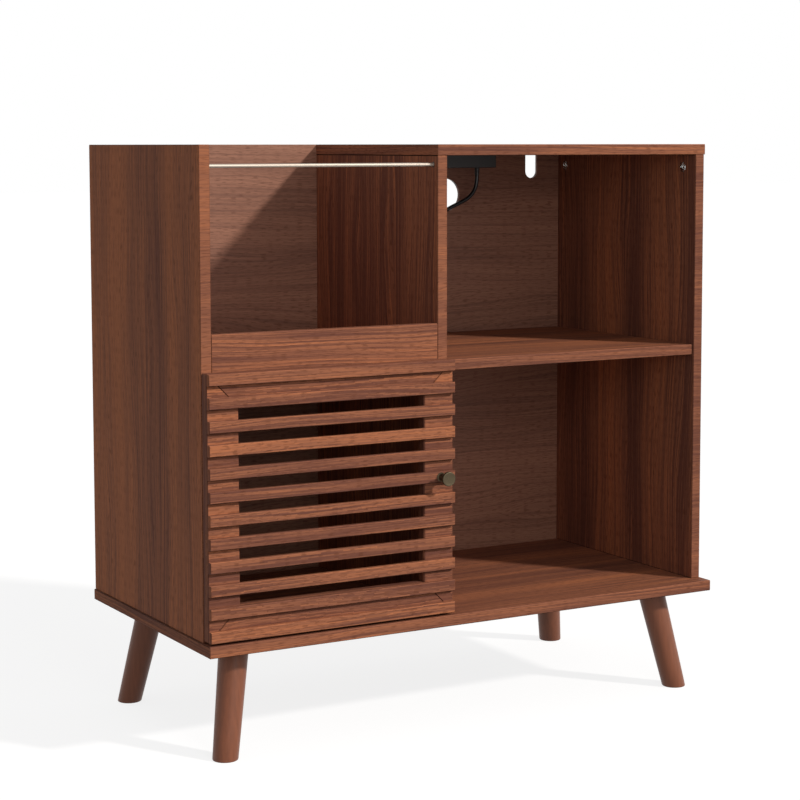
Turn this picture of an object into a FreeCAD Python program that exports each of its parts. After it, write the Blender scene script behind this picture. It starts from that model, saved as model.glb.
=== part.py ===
"""Record cabinet: an open-topped record bin, two open compartments, a slatted door and four splayed legs.

Working frame: X to the right from the left side panel's outer face, Y to the back from the side
panels' front edges, Z up from the floor, all in millimetres. The pieces are written with the
origin on the floor, under the middle of the cabinet.
"""
import FreeCAD
import Part
import math
import os

Vector = FreeCAD.Vector
X_AXIS = Vector(1, 0, 0)
Y_AXIS = Vector(0, 1, 0)
Z_AXIS = Vector(0, 0, 1)

# Carcass
CABINET_WIDTH = 796.0          # over the two side panels
SIDE_DEPTH = 376.0             # side panels, front to back
BOARD = 15.0                   # thickness of every carcass board
LEG_HEIGHT = 145.0             # floor to the underside of the bottom board
LOWER_BAY_HEIGHT = 330.0       # bottom board to shelf, clear
UPPER_BAY_HEIGHT = 275.0       # shelf to top board, clear
BIN_WIDTH = 333.0              # left-hand bays, clear
BOTTOM_FRONT_OVERHANG = 24.0   # bottom board, in front of the side panels
BOTTOM_SIDE_OVERHANG = 2.0     # bottom board, past each side panel
TOP_SIDE_OVERHANG = 2.0        # top board, past the right side panel
SHELF_SETBACK = 3.0            # shelf front edge, behind the side panels' front edges
RAIL_HEIGHT = 50.0
EDGE_CHAMFER = 0.8             # broken edge of the laminated boards

# Back panels
BACK_THICKNESS = 5.0
BACK_RECESS = 19.0             # rear face of the back panels to the side panels' rear edges
BACK_GROOVE_DEPTH = 5.0
BACK_GROOVE_PLAY = 0.2
CABLE_HOLE_RADIUS = 25.5
CABLE_HOLE_FROM_DIVIDER = 208.0
CABLE_HOLE_BELOW_TOP = 62.5
CABLE_SLOT_WIDTH = 22.0
CABLE_SLOT_FROM_SIDE = 51.5    # slot's middle, from the right side panel's inner face
CABLE_SLOT_DEPTH = 38.0
BACK_SCREW_SHARES = (0.3, 0.7)  # of a bay's height, up the dividers

# Door: mitred frame with slats laid across its front
DOOR_GAP = 2.0                 # back of the door to the side panels' front edges
DOOR_BOTTOM_GAP = 3.5
DOOR_TOP_LAP = 2.5             # door top, above the shelf
DOOR_EDGE_REVEAL = 1.5         # free edge, short of the divider's right face
FRAME_WIDTH = 45.0
FRAME_THICKNESS = 15.0
SLAT_COUNT = 12
SLAT_HEIGHT = 15.0
SLAT_THICKNESS = 7.0
SLAT_CHAMFER = 0.8
OPENING_CHAMFER = 2.0          # frame's front edge, round its opening

# Knob
KNOB_SLAT = 6                  # the knob's slat, counted from the top
KNOB_REACH = 22.0              # in front of the slats
KNOB_HEAD_RADIUS = 9.8
KNOB_HEAD_THICKNESS = 4.5
KNOB_EDGE_CHAMFER = 1.2
KNOB_NECK_RADIUS = 4.8
KNOB_SWELL = 4.0               # length over which the neck widens into the head
KNOB_SWELL_RADIUS = 6.8        # neck, where it meets the head
KNOB_FOOT_RADIUS = 6.3
KNOB_FOOT_THICKNESS = 1.0
KNOB_FOOT_TAPER = 1.5
KNOB_SCREW_RADIUS = 2.0
KNOB_SCREW_HEAD_RADIUS = 4.5
KNOB_SCREW_HEAD_HEIGHT = 1.6
KNOB_SCREW_GRIP = 12.0

# Concealed hinges: one link between a pin on the cabinet's arm and a pin in the door's cup
HINGE_INSET = 70.0             # hinge middle, from the door's top and bottom edges
ARM_PIN_X = 33.5
ARM_PIN_Y = -5.8
CUP_PIN_X = 15.3
CUP_PIN_Y = -3.7
HINGE_PIN_RADIUS = 1.5
HINGE_PIN_PLAY = 0.05
HINGE_EYE_RADIUS = 3.0
LINK_BAR_RADIUS = 2.0
LINK_PLATE = 1.2
LINK_WEB_SHARE = 0.45          # of the link's length, from the cup's pin
HINGE_SIDE_PLAY = 0.2          # between arm, link plates and cup lugs, along the pins
ARM_HALF_WIDTH = 3.0
CUP_X = 21.0
CUP_RADIUS = 17.5
CUP_DEPTH = 11.5
CUP_WALL = 0.9
CUP_LUG_THICKNESS = 1.4
CUP_FLANGE_THICKNESS = 1.2
CUP_FLANGE_CORNER = 3.6
CUP_FLANGE_HALF_HEIGHT = 31.0
CUP_FLANGE_X = (19.0, 34.0)
CUP_SCREW_SPACING = 48.0
PLATE_THICKNESS = 2.0
PLATE_SETBACK = 37.0           # plate screws, from the side panel's front edge
PLATE_SCREW_SPACING = 32.0
PLATE_Y = (20.0, 68.0)
PLATE_WING_DEPTH = 14.0
PLATE_HALF_HEIGHT = 23.0
ARM_BODY_THICKNESS = 8.0
ARM_BODY_HALF_WIDTH = 7.0
ARM_BODY_SETBACK = 2.0         # arm's body, behind the mounting plate's front end
ARM_SLOT_HALF_WIDTH = 5.6
ARM_SLOT_SETBACK = 10.0
ARM_REAR_SCREW_INSET = 9.0
ARM_RIB_SETBACK = 12.0
ARM_RIB_REAR_GAP = 2.0
ARM_NECK_OUTER = ((3.0, 7.0), (-2.0, 15.0))    # crank: x from the pin, y
ARM_NECK_INNER = ((-7.0, 11.0), (-3.0, 5.0))
ARM_NECK_ROOT_Y = (22.0, 19.0)                 # on the arm's outer and inner face
ARM_NECK_LAP = 8.0             # neck's run into the body

# Magnetic catch and bumpers
CATCH_FROM_DIVIDER = 43.0      # catch's middle, from the divider's left face
CATCH_WIDTH = 46.0
CATCH_DEPTH = 15.0
CATCH_HEIGHT = 13.0
CATCH_GAP = 0.3                # shut, between the catch and the strike, and the bumpers and divider
CATCH_EAR_WIDTH = 9.2
CATCH_EAR_THICKNESS = 5.2
CATCH_POLE_THICKNESS = 1.5
CATCH_POLE_MARGIN = 2.0        # poles, from the ears and from the catch's underside
CATCH_UPPER_POLE_DROP = 5.5
STRIKE_THICKNESS = 1.2
STRIKE_WIDTH = 40.0
STRIKE_HEIGHT = 12.0
STRIKE_SCREW_INSET = 4.5
BUMPER_RADIUS = 4.0
BUMPER_INSET = 30.0

# Record rod across the bin
ROD_RADIUS = 2.5
ROD_SETBACK = 12.0
ROD_BELOW_TOP = 27.0
SOCKET_RADIUS = 4.0
SOCKET_DEPTH = 8.0
SOCKET_BORE_DEPTH = 6.0

# Legs
LEG_TOP_RADIUS = 20.0
LEG_FOOT_RADIUS = 17.0
LEG_FOOT_CHAMFER = 1.5
LEG_INSET = 63.0               # leg's middle at the top, from the bottom board's edges
LEG_SPLAY = 26.0               # foot, further out than the top, each way
LEG_BOLT_RADIUS = 4.0
LEG_BOLT_IN_LEG = 32.0
LEG_INSERT_RADIUS = 6.0
LEG_INSERT_LENGTH = 12.0

# Knock-down fittings
FIT_PLAY = 0.1                 # radial play of a fitting in its hole
CAM_RADIUS = 7.5
CAM_DEPTH = 12.0
CAM_SETBACK = 18.0             # cam's middle, from the end of its board
CAM_CROSS = (1.6, 8.0, 1.5)    # width, length and depth of the cross recess
CAM_CAVITY_RADIUS = 3.6
BOLT_HEAD_RADIUS = 3.0
BOLT_HEAD_LENGTH = 3.0
BOLT_SHANK_RADIUS = 2.0
BOLT_BORE_RADIUS = 3.6
BOLT_THREAD_RADIUS = 3.0
BOLT_THREAD_LENGTH = 10.0
FRONT_FITTING_Y = 31.0
FITTING_FROM_REAR = 43.0       # from the side panels' rear edges
DOWEL_RADIUS = 4.0
DOWEL_LENGTH = 30.0
DOWEL_END_PLAY = 0.5
DOWEL_IN_FACE = 10.0           # dowel's share in the face of a board
FRONT_DOWEL_Y = 72.0
DOWEL_FROM_REAR = 84.0
CONFIRMAT_RADIUS = 3.0
CONFIRMAT_HEAD_RADIUS = 5.0
CONFIRMAT_HEAD_HEIGHT = 3.0
CONFIRMAT_LENGTH = 50.0
BACK_SCREW_RADIUS = 1.6
BACK_SCREW_HEAD_RADIUS = 3.5
BACK_SCREW_HEAD_HEIGHT = 1.5
BACK_SCREW_LENGTH = 18.0
SMALL_SCREW_RADIUS = 1.6
SMALL_SCREW_HEAD_RADIUS = 3.2
SMALL_SCREW_HEAD_HEIGHT = 1.6
SMALL_SCREW_LENGTH = 12.0

# Power strip under the top board
STRIP_LENGTH = 250.0
STRIP_DEPTH = 45.0
STRIP_HEIGHT = 20.5
STRIP_FROM_DIVIDER = 262.0     # right end, from the divider's right face
STRIP_FROM_BACK = 17.0
STRIP_EDGE_RADIUS = 1.5
STRIP_SCREW_INSET = 12.0       # first screw, from the strip's left end
STRIP_SCREW_PAST_SOCKETS = 40.0
STRIP_SCREW_SINK = 3.0         # screw heads, up inside the housing
STRIP_SCREW_GRIP = 8.0         # in the top board
STRIP_SOCKET_COUNT = 3
STRIP_SOCKET_PITCH = 56.0
STRIP_SOCKET_FIRST = 42.0      # first socket's middle, from the strip's left end
SOCKET_FACE = (36.0, 30.0, 4.0)
SOCKET_SLOT = (2.2, 8.0, 3.0)
SOCKET_SLOT_SPACING = 12.7
SOCKET_EARTH_RADIUS = 2.5
SOCKET_EARTH_OFFSET = 6.0
SOCKET_RECESS = 0.5

# Mains lead of the power strip: it drops from the strip, sweeps past the cable hole and comes down
# to the shelf. Its points are offsets from the divider's right face, the back panel's front face
# and a height, the top board's underside for the drop and the shelf's top for the rest.
LEAD_RADIUS = 3.0
LEAD_DROP = [
    (242.6, -37.0, -31.5), (242.6, -37.0, -44.0), (237.0, -37.0, -57.7), (226.0, -37.0, -67.9),
    (210.0, -37.0, -74.7), (190.5, -37.2, -82.6), (170.8, -37.4, -94.8), (153.4, -37.6, -114.1),
    (141.1, -37.4, -139.3), (133.8, -36.8, -166.0), (129.4, -36.0, -188.0)]
LEAD_LANDING = [
    (126.5, -35.6, 65.0), (121.0, -36.0, 43.0), (113.5, -40.5, 22.5), (105.0, -52.0, 8.5),
    (96.0, -70.0, 4.0), (96.0, -90.0, 4.0)]
LEAD_TAIL = [
    (14.0, -90.0, 10.0), (14.0, -72.0, 10.0), (18.0, -53.0, 6.5), (30.0, -36.5, 4.3),
    (48.0, -24.0, 6.0), (69.0, -16.0, 10.3), (89.0, -16.0, 10.3)]
LEAD_ARC_SHARE = 0.45          # of the shorter run at a corner, taken up by its arc
COIL_FROM_DIVIDER = 55.0       # coil's middle, from the divider's right face
COIL_FROM_BACK = 114.0
RELIEF_LENGTH = 22.0
RELIEF_TOP_RADIUS = 5.0
RELIEF_END_RADIUS = 3.5
COIL_TURN_RADII = (29.0, 35.0, 41.0)
COIL_LAYERS = 2
COIL_LIFT = 1.0
COIL_STUB = 24.0
TIE_THICKNESS = 0.8
TIE_WIDTH = 8.0
TIE_PLAY = 0.1
TIE_INNER_PLAY = 1.1
PLUG_RELIEF_LENGTH = 22.0
PLUG_LENGTH = 28.0
PLUG_WIDTH = 26.0
PLUG_HEIGHT = 20.0
PLUG_RELIEF_RADII = (3.8, 7.0)
PLUG_EDGE_RADIUS = 3.0
PLUG_PIN_RISE = 2.0            # blades, above the plug's middle
BLADE = (16.0, 6.3, 1.5)
BLADE_SPACING = 12.7
EARTH_PIN_RADIUS = 2.4
EARTH_PIN_LENGTH = 18.0
EARTH_PIN_OFFSET = 7.0

# Derived planes of the carcass
BOTTOM_Z = LEG_HEIGHT
FLOOR_Z = BOTTOM_Z + BOARD
SHELF_Z = FLOOR_Z + LOWER_BAY_HEIGHT
SHELF_TOP_Z = SHELF_Z + BOARD
TOP_UNDER_Z = SHELF_TOP_Z + UPPER_BAY_HEIGHT
TOP_Z = TOP_UNDER_Z + BOARD
DIVIDER_X = BOARD + BIN_WIDTH
DIVIDER_RIGHT_X = DIVIDER_X + BOARD
RIGHT_INNER_X = CABINET_WIDTH - BOARD
BACK_REAR_Y = SIDE_DEPTH - BACK_RECESS
BACK_FRONT_Y = BACK_REAR_Y - BACK_THICKNESS
REAR_FITTING_Y = SIDE_DEPTH - FITTING_FROM_REAR
REAR_DOWEL_Y = SIDE_DEPTH - DOWEL_FROM_REAR

# Derived planes of the door
DOOR_BACK_Y = -DOOR_GAP
FRAME_FRONT_Y = DOOR_BACK_Y - FRAME_THICKNESS
SLAT_FRONT_Y = FRAME_FRONT_Y - SLAT_THICKNESS
DOOR_WIDTH = DIVIDER_RIGHT_X - DOOR_EDGE_REVEAL
DOOR_BOTTOM_Z = FLOOR_Z + DOOR_BOTTOM_GAP
DOOR_TOP_Z = SHELF_TOP_Z + DOOR_TOP_LAP
SLAT_PITCH = (DOOR_TOP_Z - DOOR_BOTTOM_Z - SLAT_HEIGHT) / (SLAT_COUNT - 1)
KNOB_X = DOOR_WIDTH - FRAME_WIDTH / 2
KNOB_Z = DOOR_TOP_Z - SLAT_HEIGHT / 2 - (KNOB_SLAT - 1) * SLAT_PITCH
KNOB_FRONT_Y = SLAT_FRONT_Y - KNOB_REACH
HINGE_HEIGHTS = (DOOR_BOTTOM_Z + HINGE_INSET, DOOR_TOP_Z - HINGE_INSET)
CATCH_X = DIVIDER_X - CATCH_FROM_DIVIDER

# Where the working frame's origin goes, so that the written one is centred
ORIGIN_SHIFT = Vector(-CABINET_WIDTH / 2, -(SIDE_DEPTH + KNOB_FRONT_Y) / 2, 0)

parts = {}


def block(low, high):
    """Box between two corners."""
    size = Vector(*high) - Vector(*low)
    return Part.makeBox(size.x, size.y, size.z, Vector(*low))


def rod_between(radius, start, direction, length):
    """Cylinder from a point along a direction."""
    return Part.makeCylinder(radius, length, Vector(*start), direction)


def chamfered(solid, size):
    """Solid with every edge broken."""
    return solid.makeChamfer(size, solid.Edges)


def board(low, high):
    """Laminated board with its edges broken."""
    return chamfered(block(low, high), EDGE_CHAMFER)


def keep(name, *solids):
    """Record a node's solids."""
    parts[name] = list(solids)


def carve(name, *tools):
    """Cut tools out of a recorded single-solid node."""
    parts[name] = [parts[name][0].cut(list(tools))]


def plan_profile(points, z_low, z_high):
    """Closed outline in plan, raised between two heights."""
    corners = [Vector(x, y, z_low) for x, y in points]
    wire = Part.makePolygon(corners + corners[:1])
    return Part.Face(wire).extrude(Vector(0, 0, z_high - z_low))


# ---------------------------------------------------------------- carcass

def make_carcass():
    """Boards of the cabinet, before they are drilled."""
    keep("bottom_panel", board(
        (-BOTTOM_SIDE_OVERHANG, -BOTTOM_FRONT_OVERHANG, BOTTOM_Z),
        (CABINET_WIDTH + BOTTOM_SIDE_OVERHANG, SIDE_DEPTH, FLOOR_Z)))
    keep("left_side_panel", board((0, 0, FLOOR_Z), (BOARD, SIDE_DEPTH, TOP_Z)))
    keep("right_side_panel", board(
        (RIGHT_INNER_X, 0, FLOOR_Z), (CABINET_WIDTH, SIDE_DEPTH, TOP_UNDER_Z)))
    keep("top_panel", board(
        (DIVIDER_X, 0, TOP_UNDER_Z), (CABINET_WIDTH + TOP_SIDE_OVERHANG, SIDE_DEPTH, TOP_Z)))
    keep("shelf_panel", board(
        (BOARD, SHELF_SETBACK, SHELF_Z), (RIGHT_INNER_X, BACK_FRONT_Y, SHELF_TOP_Z)))
    keep("upper_divider", board(
        (DIVIDER_X, 0, SHELF_TOP_Z), (DIVIDER_RIGHT_X, BACK_FRONT_Y, TOP_UNDER_Z)))
    keep("lower_divider", board(
        (DIVIDER_X, 0, FLOOR_Z), (DIVIDER_RIGHT_X, BACK_FRONT_Y, SHELF_Z)))
    keep("bin_front_rail", board(
        (BOARD, 0, SHELF_TOP_Z), (DIVIDER_X, BOARD, SHELF_TOP_Z + RAIL_HEIGHT)))


def make_back_panels():
    """Two back panels that slide in grooves of the side panels and meet behind the shelf."""
    seam_z = SHELF_Z + BOARD / 2
    left_x = BOARD - BACK_GROOVE_DEPTH
    right_x = RIGHT_INNER_X + BACK_GROOVE_DEPTH
    keep("lower_back_panel", block(
        (left_x, BACK_FRONT_Y, FLOOR_Z), (right_x, BACK_REAR_Y, seam_z)))
    bin_back = block((left_x, BACK_FRONT_Y, seam_z), (DIVIDER_X, BACK_REAR_Y, TOP_Z))
    bay_back = block((DIVIDER_X, BACK_FRONT_Y, seam_z), (right_x, BACK_REAR_Y, TOP_UNDER_Z))
    keep("upper_back_panel", bin_back.fuse(bay_back).removeSplitter())

    hole = rod_between(
        CABLE_HOLE_RADIUS,
        (DIVIDER_RIGHT_X + CABLE_HOLE_FROM_DIVIDER, BACK_FRONT_Y, TOP_UNDER_Z - CABLE_HOLE_BELOW_TOP),
        Y_AXIS, BACK_THICKNESS)
    slot_x = RIGHT_INNER_X - CABLE_SLOT_FROM_SIDE
    slot_radius = CABLE_SLOT_WIDTH / 2
    slot_round_z = TOP_UNDER_Z - CABLE_SLOT_DEPTH + slot_radius
    slot_round = rod_between(
        slot_radius, (slot_x, BACK_FRONT_Y, slot_round_z), Y_AXIS, BACK_THICKNESS)
    slot_neck = block(
        (slot_x - slot_radius, BACK_FRONT_Y, slot_round_z),
        (slot_x + slot_radius, BACK_REAR_Y, TOP_UNDER_Z))
    carve("upper_back_panel", hole, slot_round.fuse(slot_neck))

    play = BACK_GROOVE_PLAY / 2
    for name, x_low, x_high, top_z in (
            ("left_side_panel", left_x, BOARD, TOP_Z),
            ("right_side_panel", RIGHT_INNER_X, right_x, TOP_UNDER_Z)):
        carve(name, block(
            (x_low, BACK_FRONT_Y - play, FLOOR_Z), (x_high, BACK_REAR_Y + play, top_z)))


# ---------------------------------------------------------------- fittings

def cam(centre, out, pull):
    """Cam in the face of a board: centre on the face, out of the face, pull towards its bolt."""
    centre = Vector(*centre)
    body = Part.makeCylinder(CAM_RADIUS - FIT_PLAY, CAM_DEPTH, centre, out * -1)
    side = out.cross(pull)
    width, length, depth = CAM_CROSS
    for along, across in ((pull, side), (side, pull)):
        corner = centre - along * (length / 2) - across * (width / 2) - out * depth
        arm = Part.makePolygon([
            corner, corner + along * length, corner + along * length + across * width,
            corner + across * width, corner])
        body = body.cut(Part.Face(arm).extrude(out * depth))
    middle = centre - out * (BOARD / 2)
    cavity = Part.makeCylinder(
        CAM_CAVITY_RADIUS, CAM_RADIUS + BOLT_HEAD_LENGTH, middle - pull * BOLT_HEAD_LENGTH, pull)
    return body.cut(cavity)


def cam_bolt(centre, out, pull):
    """Bolt that a cam draws in: head in the cam, thread in the face of the next board."""
    middle = Vector(*centre) - out * (BOARD / 2)
    head_start = middle - pull * (BOLT_HEAD_LENGTH / 2)
    head = Part.makeCylinder(BOLT_HEAD_RADIUS, BOLT_HEAD_LENGTH, head_start, pull)
    shank_start = head_start + pull * BOLT_HEAD_LENGTH
    shank_length = CAM_SETBACK - BOLT_HEAD_LENGTH / 2
    shank = Part.makeCylinder(BOLT_SHANK_RADIUS, shank_length, shank_start, pull)
    thread = Part.makeCylinder(
        BOLT_THREAD_RADIUS - FIT_PLAY, BOLT_THREAD_LENGTH, shank_start + pull * shank_length, pull)
    return head.fuse([shank, thread])


def fit_cam(host, mate, centre, out, pull):
    """Drill a board for a cam and its bolt, and the next board for the bolt's thread."""
    point = Vector(*centre)
    middle = point - out * (BOARD / 2)
    carve(host,
          Part.makeCylinder(CAM_RADIUS, CAM_DEPTH, point, out * -1),
          Part.makeCylinder(BOLT_BORE_RADIUS, CAM_SETBACK, middle, pull))
    carve(mate, Part.makeCylinder(
        BOLT_THREAD_RADIUS, BOLT_THREAD_LENGTH, middle + pull * CAM_SETBACK, pull))
    return cam(centre, out, pull), cam_bolt(centre, out, pull)


def make_cam_fittings():
    """Cams and bolts that hold the top, the shelf, the rail and the dividers together."""
    cams = []
    bolts = []

    def fit(*details):
        new_cam, new_bolt = fit_cam(*details)
        cams.append(new_cam)
        bolts.append(new_bolt)

    left = Vector(-1, 0, 0)
    down = Vector(0, 0, -1)
    for y in (FRONT_FITTING_Y, REAR_FITTING_Y):
        top_cam_z = TOP_UNDER_Z - CAM_SETBACK
        fit("right_side_panel", "top_panel", (RIGHT_INNER_X, y, top_cam_z), left, Z_AXIS)
        fit("upper_divider", "top_panel", (DIVIDER_RIGHT_X, y, top_cam_z), X_AXIS, Z_AXIS)
        fit("shelf_panel", "left_side_panel", (BOARD + CAM_SETBACK, y, SHELF_Z), down, left)
        fit("shelf_panel", "right_side_panel",
            (RIGHT_INNER_X - CAM_SETBACK, y, SHELF_Z), down, X_AXIS)
        fit_divider_pair(y, cams, bolts)
    rail_z = SHELF_TOP_Z + RAIL_HEIGHT / 2
    fit("bin_front_rail", "left_side_panel", (BOARD + CAM_SETBACK, BOARD, rail_z), Y_AXIS, left)
    fit("bin_front_rail", "upper_divider", (DIVIDER_X - CAM_SETBACK, BOARD, rail_z), Y_AXIS, X_AXIS)
    keep("cam_locks", *cams)
    keep("cam_bolts", *bolts)


def fit_divider_pair(y, cams, bolts):
    """Two cams that draw both dividers onto the shelf with one double-ended bolt through it."""
    down = Vector(0, 0, -1)
    lower_centre = Vector(DIVIDER_RIGHT_X, y, SHELF_Z - CAM_SETBACK)
    upper_centre = Vector(DIVIDER_RIGHT_X, y, SHELF_TOP_Z + CAM_SETBACK)
    middle = Vector(DIVIDER_RIGHT_X - BOARD / 2, y, 0)
    bore_low = Vector(middle.x, y, lower_centre.z)
    bore_length = upper_centre.z - lower_centre.z
    bore = Part.makeCylinder(BOLT_BORE_RADIUS, bore_length, bore_low, Z_AXIS)
    for name, centre in (("lower_divider", lower_centre), ("upper_divider", upper_centre)):
        carve(name, bore, Part.makeCylinder(CAM_RADIUS, CAM_DEPTH, centre, X_AXIS * -1))
    carve("shelf_panel", Part.makeCylinder(
        BOLT_THREAD_RADIUS, BOARD, Vector(middle.x, y, SHELF_Z), Z_AXIS))
    cams.append(cam(lower_centre, X_AXIS, Z_AXIS))
    cams.append(cam(upper_centre, X_AXIS, down))
    half_head = BOLT_HEAD_LENGTH / 2
    low_head = Part.makeCylinder(
        BOLT_HEAD_RADIUS, BOLT_HEAD_LENGTH, Vector(middle.x, y, lower_centre.z - half_head), Z_AXIS)
    high_head = Part.makeCylinder(
        BOLT_HEAD_RADIUS, BOLT_HEAD_LENGTH, Vector(middle.x, y, upper_centre.z - half_head), Z_AXIS)
    shank = Part.makeCylinder(BOLT_SHANK_RADIUS, bore_length, bore_low, Z_AXIS)
    collar = Part.makeCylinder(
        BOLT_THREAD_RADIUS - FIT_PLAY, BOARD, Vector(middle.x, y, SHELF_Z), Z_AXIS)
    bolts.append(shank.fuse([low_head, high_head, collar]))


def fit_dowel(end_board, face_board, joint, into_face):
    """Dowel across a joint: joint is a point on it, into_face points into the face board."""
    joint = Vector(*joint)
    in_end = DOWEL_LENGTH - DOWEL_IN_FACE
    carve(face_board, Part.makeCylinder(
        DOWEL_RADIUS, DOWEL_IN_FACE + DOWEL_END_PLAY, joint, into_face))
    carve(end_board, Part.makeCylinder(
        DOWEL_RADIUS, in_end + DOWEL_END_PLAY, joint, into_face * -1))
    return Part.makeCylinder(
        DOWEL_RADIUS - FIT_PLAY, DOWEL_LENGTH, joint - into_face * in_end, into_face)


def make_dowels():
    """Wooden dowels that locate the top, the shelf and the upright boards."""
    left = Vector(-1, 0, 0)
    down = Vector(0, 0, -1)
    mid_shelf_z = SHELF_Z + BOARD / 2
    dowels = []
    for y in (FRONT_DOWEL_Y, REAR_DOWEL_Y):
        right_mid_x = RIGHT_INNER_X + BOARD / 2
        divider_mid_x = DIVIDER_X + BOARD / 2
        dowels += [
            fit_dowel("right_side_panel", "top_panel", (right_mid_x, y, TOP_UNDER_Z), Z_AXIS),
            fit_dowel("upper_divider", "top_panel", (divider_mid_x, y, TOP_UNDER_Z), Z_AXIS),
            fit_dowel("shelf_panel", "left_side_panel", (BOARD, y, mid_shelf_z), left),
            fit_dowel("shelf_panel", "right_side_panel", (RIGHT_INNER_X, y, mid_shelf_z), X_AXIS),
            fit_dowel("left_side_panel", "bottom_panel", (BOARD / 2, y, FLOOR_Z), down),
            fit_dowel("right_side_panel", "bottom_panel", (right_mid_x, y, FLOOR_Z), down),
            fit_dowel("lower_divider", "bottom_panel", (divider_mid_x, y, FLOOR_Z), down)]
    keep("wood_dowels", *dowels)


def make_bottom_screws():
    """Screws up through the bottom board into the uprights that stand on it."""
    screws = []
    uprights = (
        ("left_side_panel", BOARD / 2),
        ("lower_divider", DIVIDER_X + BOARD / 2),
        ("right_side_panel", RIGHT_INNER_X + BOARD / 2))
    for name, x in uprights:
        for y in (FRONT_FITTING_Y, (FRONT_DOWEL_Y + REAR_DOWEL_Y) / 2, REAR_FITTING_Y):
            start = (x, y, BOTTOM_Z)
            head = rod_between(CONFIRMAT_HEAD_RADIUS - FIT_PLAY, start, Z_AXIS, CONFIRMAT_HEAD_HEIGHT)
            shank = rod_between(CONFIRMAT_RADIUS - FIT_PLAY, start, Z_AXIS, CONFIRMAT_LENGTH)
            screws.append(head.fuse(shank))
            carve("bottom_panel",
                  rod_between(CONFIRMAT_HEAD_RADIUS, start, Z_AXIS, CONFIRMAT_HEAD_HEIGHT),
                  rod_between(CONFIRMAT_RADIUS, start, Z_AXIS, BOARD))
            carve(name, rod_between(
                CONFIRMAT_RADIUS, (x, y, FLOOR_Z), Z_AXIS, CONFIRMAT_LENGTH - BOARD))
    return screws


def make_back_screws():
    """Pan-head screws through the back panels into the shelf and the dividers."""
    inward = Vector(0, -1, 0)
    shelf_xs = [BOARD + BIN_WIDTH / 4, BOARD + 3 * BIN_WIDTH / 4]
    bay_width = RIGHT_INNER_X - DIVIDER_RIGHT_X
    shelf_xs += [DIVIDER_RIGHT_X + bay_width / 4, DIVIDER_RIGHT_X + 3 * bay_width / 4]
    divider_x = DIVIDER_X + BOARD / 2
    quarter = BOARD / 4
    places = [("upper_back_panel", "shelf_panel", x, SHELF_TOP_Z - quarter) for x in shelf_xs]
    places += [("lower_back_panel", "shelf_panel", x, SHELF_Z + quarter) for x in shelf_xs]
    for share in BACK_SCREW_SHARES:
        places.append(
            ("upper_back_panel", "upper_divider", divider_x, SHELF_TOP_Z + share * UPPER_BAY_HEIGHT))
        places.append(
            ("lower_back_panel", "lower_divider", divider_x, FLOOR_Z + share * LOWER_BAY_HEIGHT))
    screws = []
    for panel, mate, x, z in places:
        start = (x, BACK_REAR_Y, z)
        head = rod_between(BACK_SCREW_HEAD_RADIUS, start, Y_AXIS, BACK_SCREW_HEAD_HEIGHT)
        shank = rod_between(BACK_SCREW_RADIUS - FIT_PLAY, start, inward, BACK_SCREW_LENGTH)
        screws.append(head.fuse(shank))
        hole = rod_between(BACK_SCREW_RADIUS, start, inward, BACK_SCREW_LENGTH)
        carve(panel, hole)
        carve(mate, hole)
    return screws


# ---------------------------------------------------------------- record rod

def make_record_rod():
    """Thin metal rod across the bin, held in two nylon sockets."""
    rod_z = TOP_Z - ROD_BELOW_TOP
    sockets = []
    for name, face_x, into in (
            ("left_side_panel", BOARD, Vector(-1, 0, 0)), ("upper_divider", DIVIDER_X, X_AXIS)):
        mouth = (face_x, ROD_SETBACK, rod_z)
        body = rod_between(SOCKET_RADIUS - FIT_PLAY, mouth, into, SOCKET_DEPTH)
        sockets.append(body.cut(rod_between(ROD_RADIUS, mouth, into, SOCKET_BORE_DEPTH)))
        carve(name, rod_between(SOCKET_RADIUS, mouth, into, SOCKET_DEPTH))
    keep("rod_sockets", *sockets)
    keep("record_rod", rod_between(
        ROD_RADIUS, (BOARD - SOCKET_BORE_DEPTH, ROD_SETBACK, rod_z), X_AXIS,
        BIN_WIDTH + 2 * SOCKET_BORE_DEPTH))


# ---------------------------------------------------------------- door

def front_profile(points):
    """Closed outline in the plane of the door frame, as thick as the frame."""
    corners = [Vector(x, FRAME_FRONT_Y, z) for x, z in points]
    wire = Part.makePolygon(corners + corners[:1])
    return Part.Face(wire).extrude(Vector(0, FRAME_THICKNESS, 0))


def make_door_frame():
    """Two stiles and two rails, mitred at the corners."""
    left, right = 0.0, DOOR_WIDTH
    bottom, top = DOOR_BOTTOM_Z, DOOR_TOP_Z
    inner_left, inner_right = left + FRAME_WIDTH, right - FRAME_WIDTH
    inner_bottom, inner_top = bottom + FRAME_WIDTH, top - FRAME_WIDTH
    outlines = {
        "door_left_stile": (
            (left, bottom), (inner_left, inner_bottom), (inner_left, inner_top), (left, top)),
        "door_right_stile": (
            (right, bottom), (right, top), (inner_right, inner_top), (inner_right, inner_bottom)),
        "door_bottom_rail": (
            (left, bottom), (right, bottom), (inner_right, inner_bottom), (inner_left, inner_bottom)),
        "door_top_rail": (
            (left, top), (inner_left, inner_top), (inner_right, inner_top), (right, top))}
    for name, outline in outlines.items():
        piece = front_profile(outline)
        opening_edges = [edge for edge in piece.Edges if is_round_opening(edge)]
        keep(name, chamfered(piece.makeChamfer(OPENING_CHAMFER, opening_edges), EDGE_CHAMFER))


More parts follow.
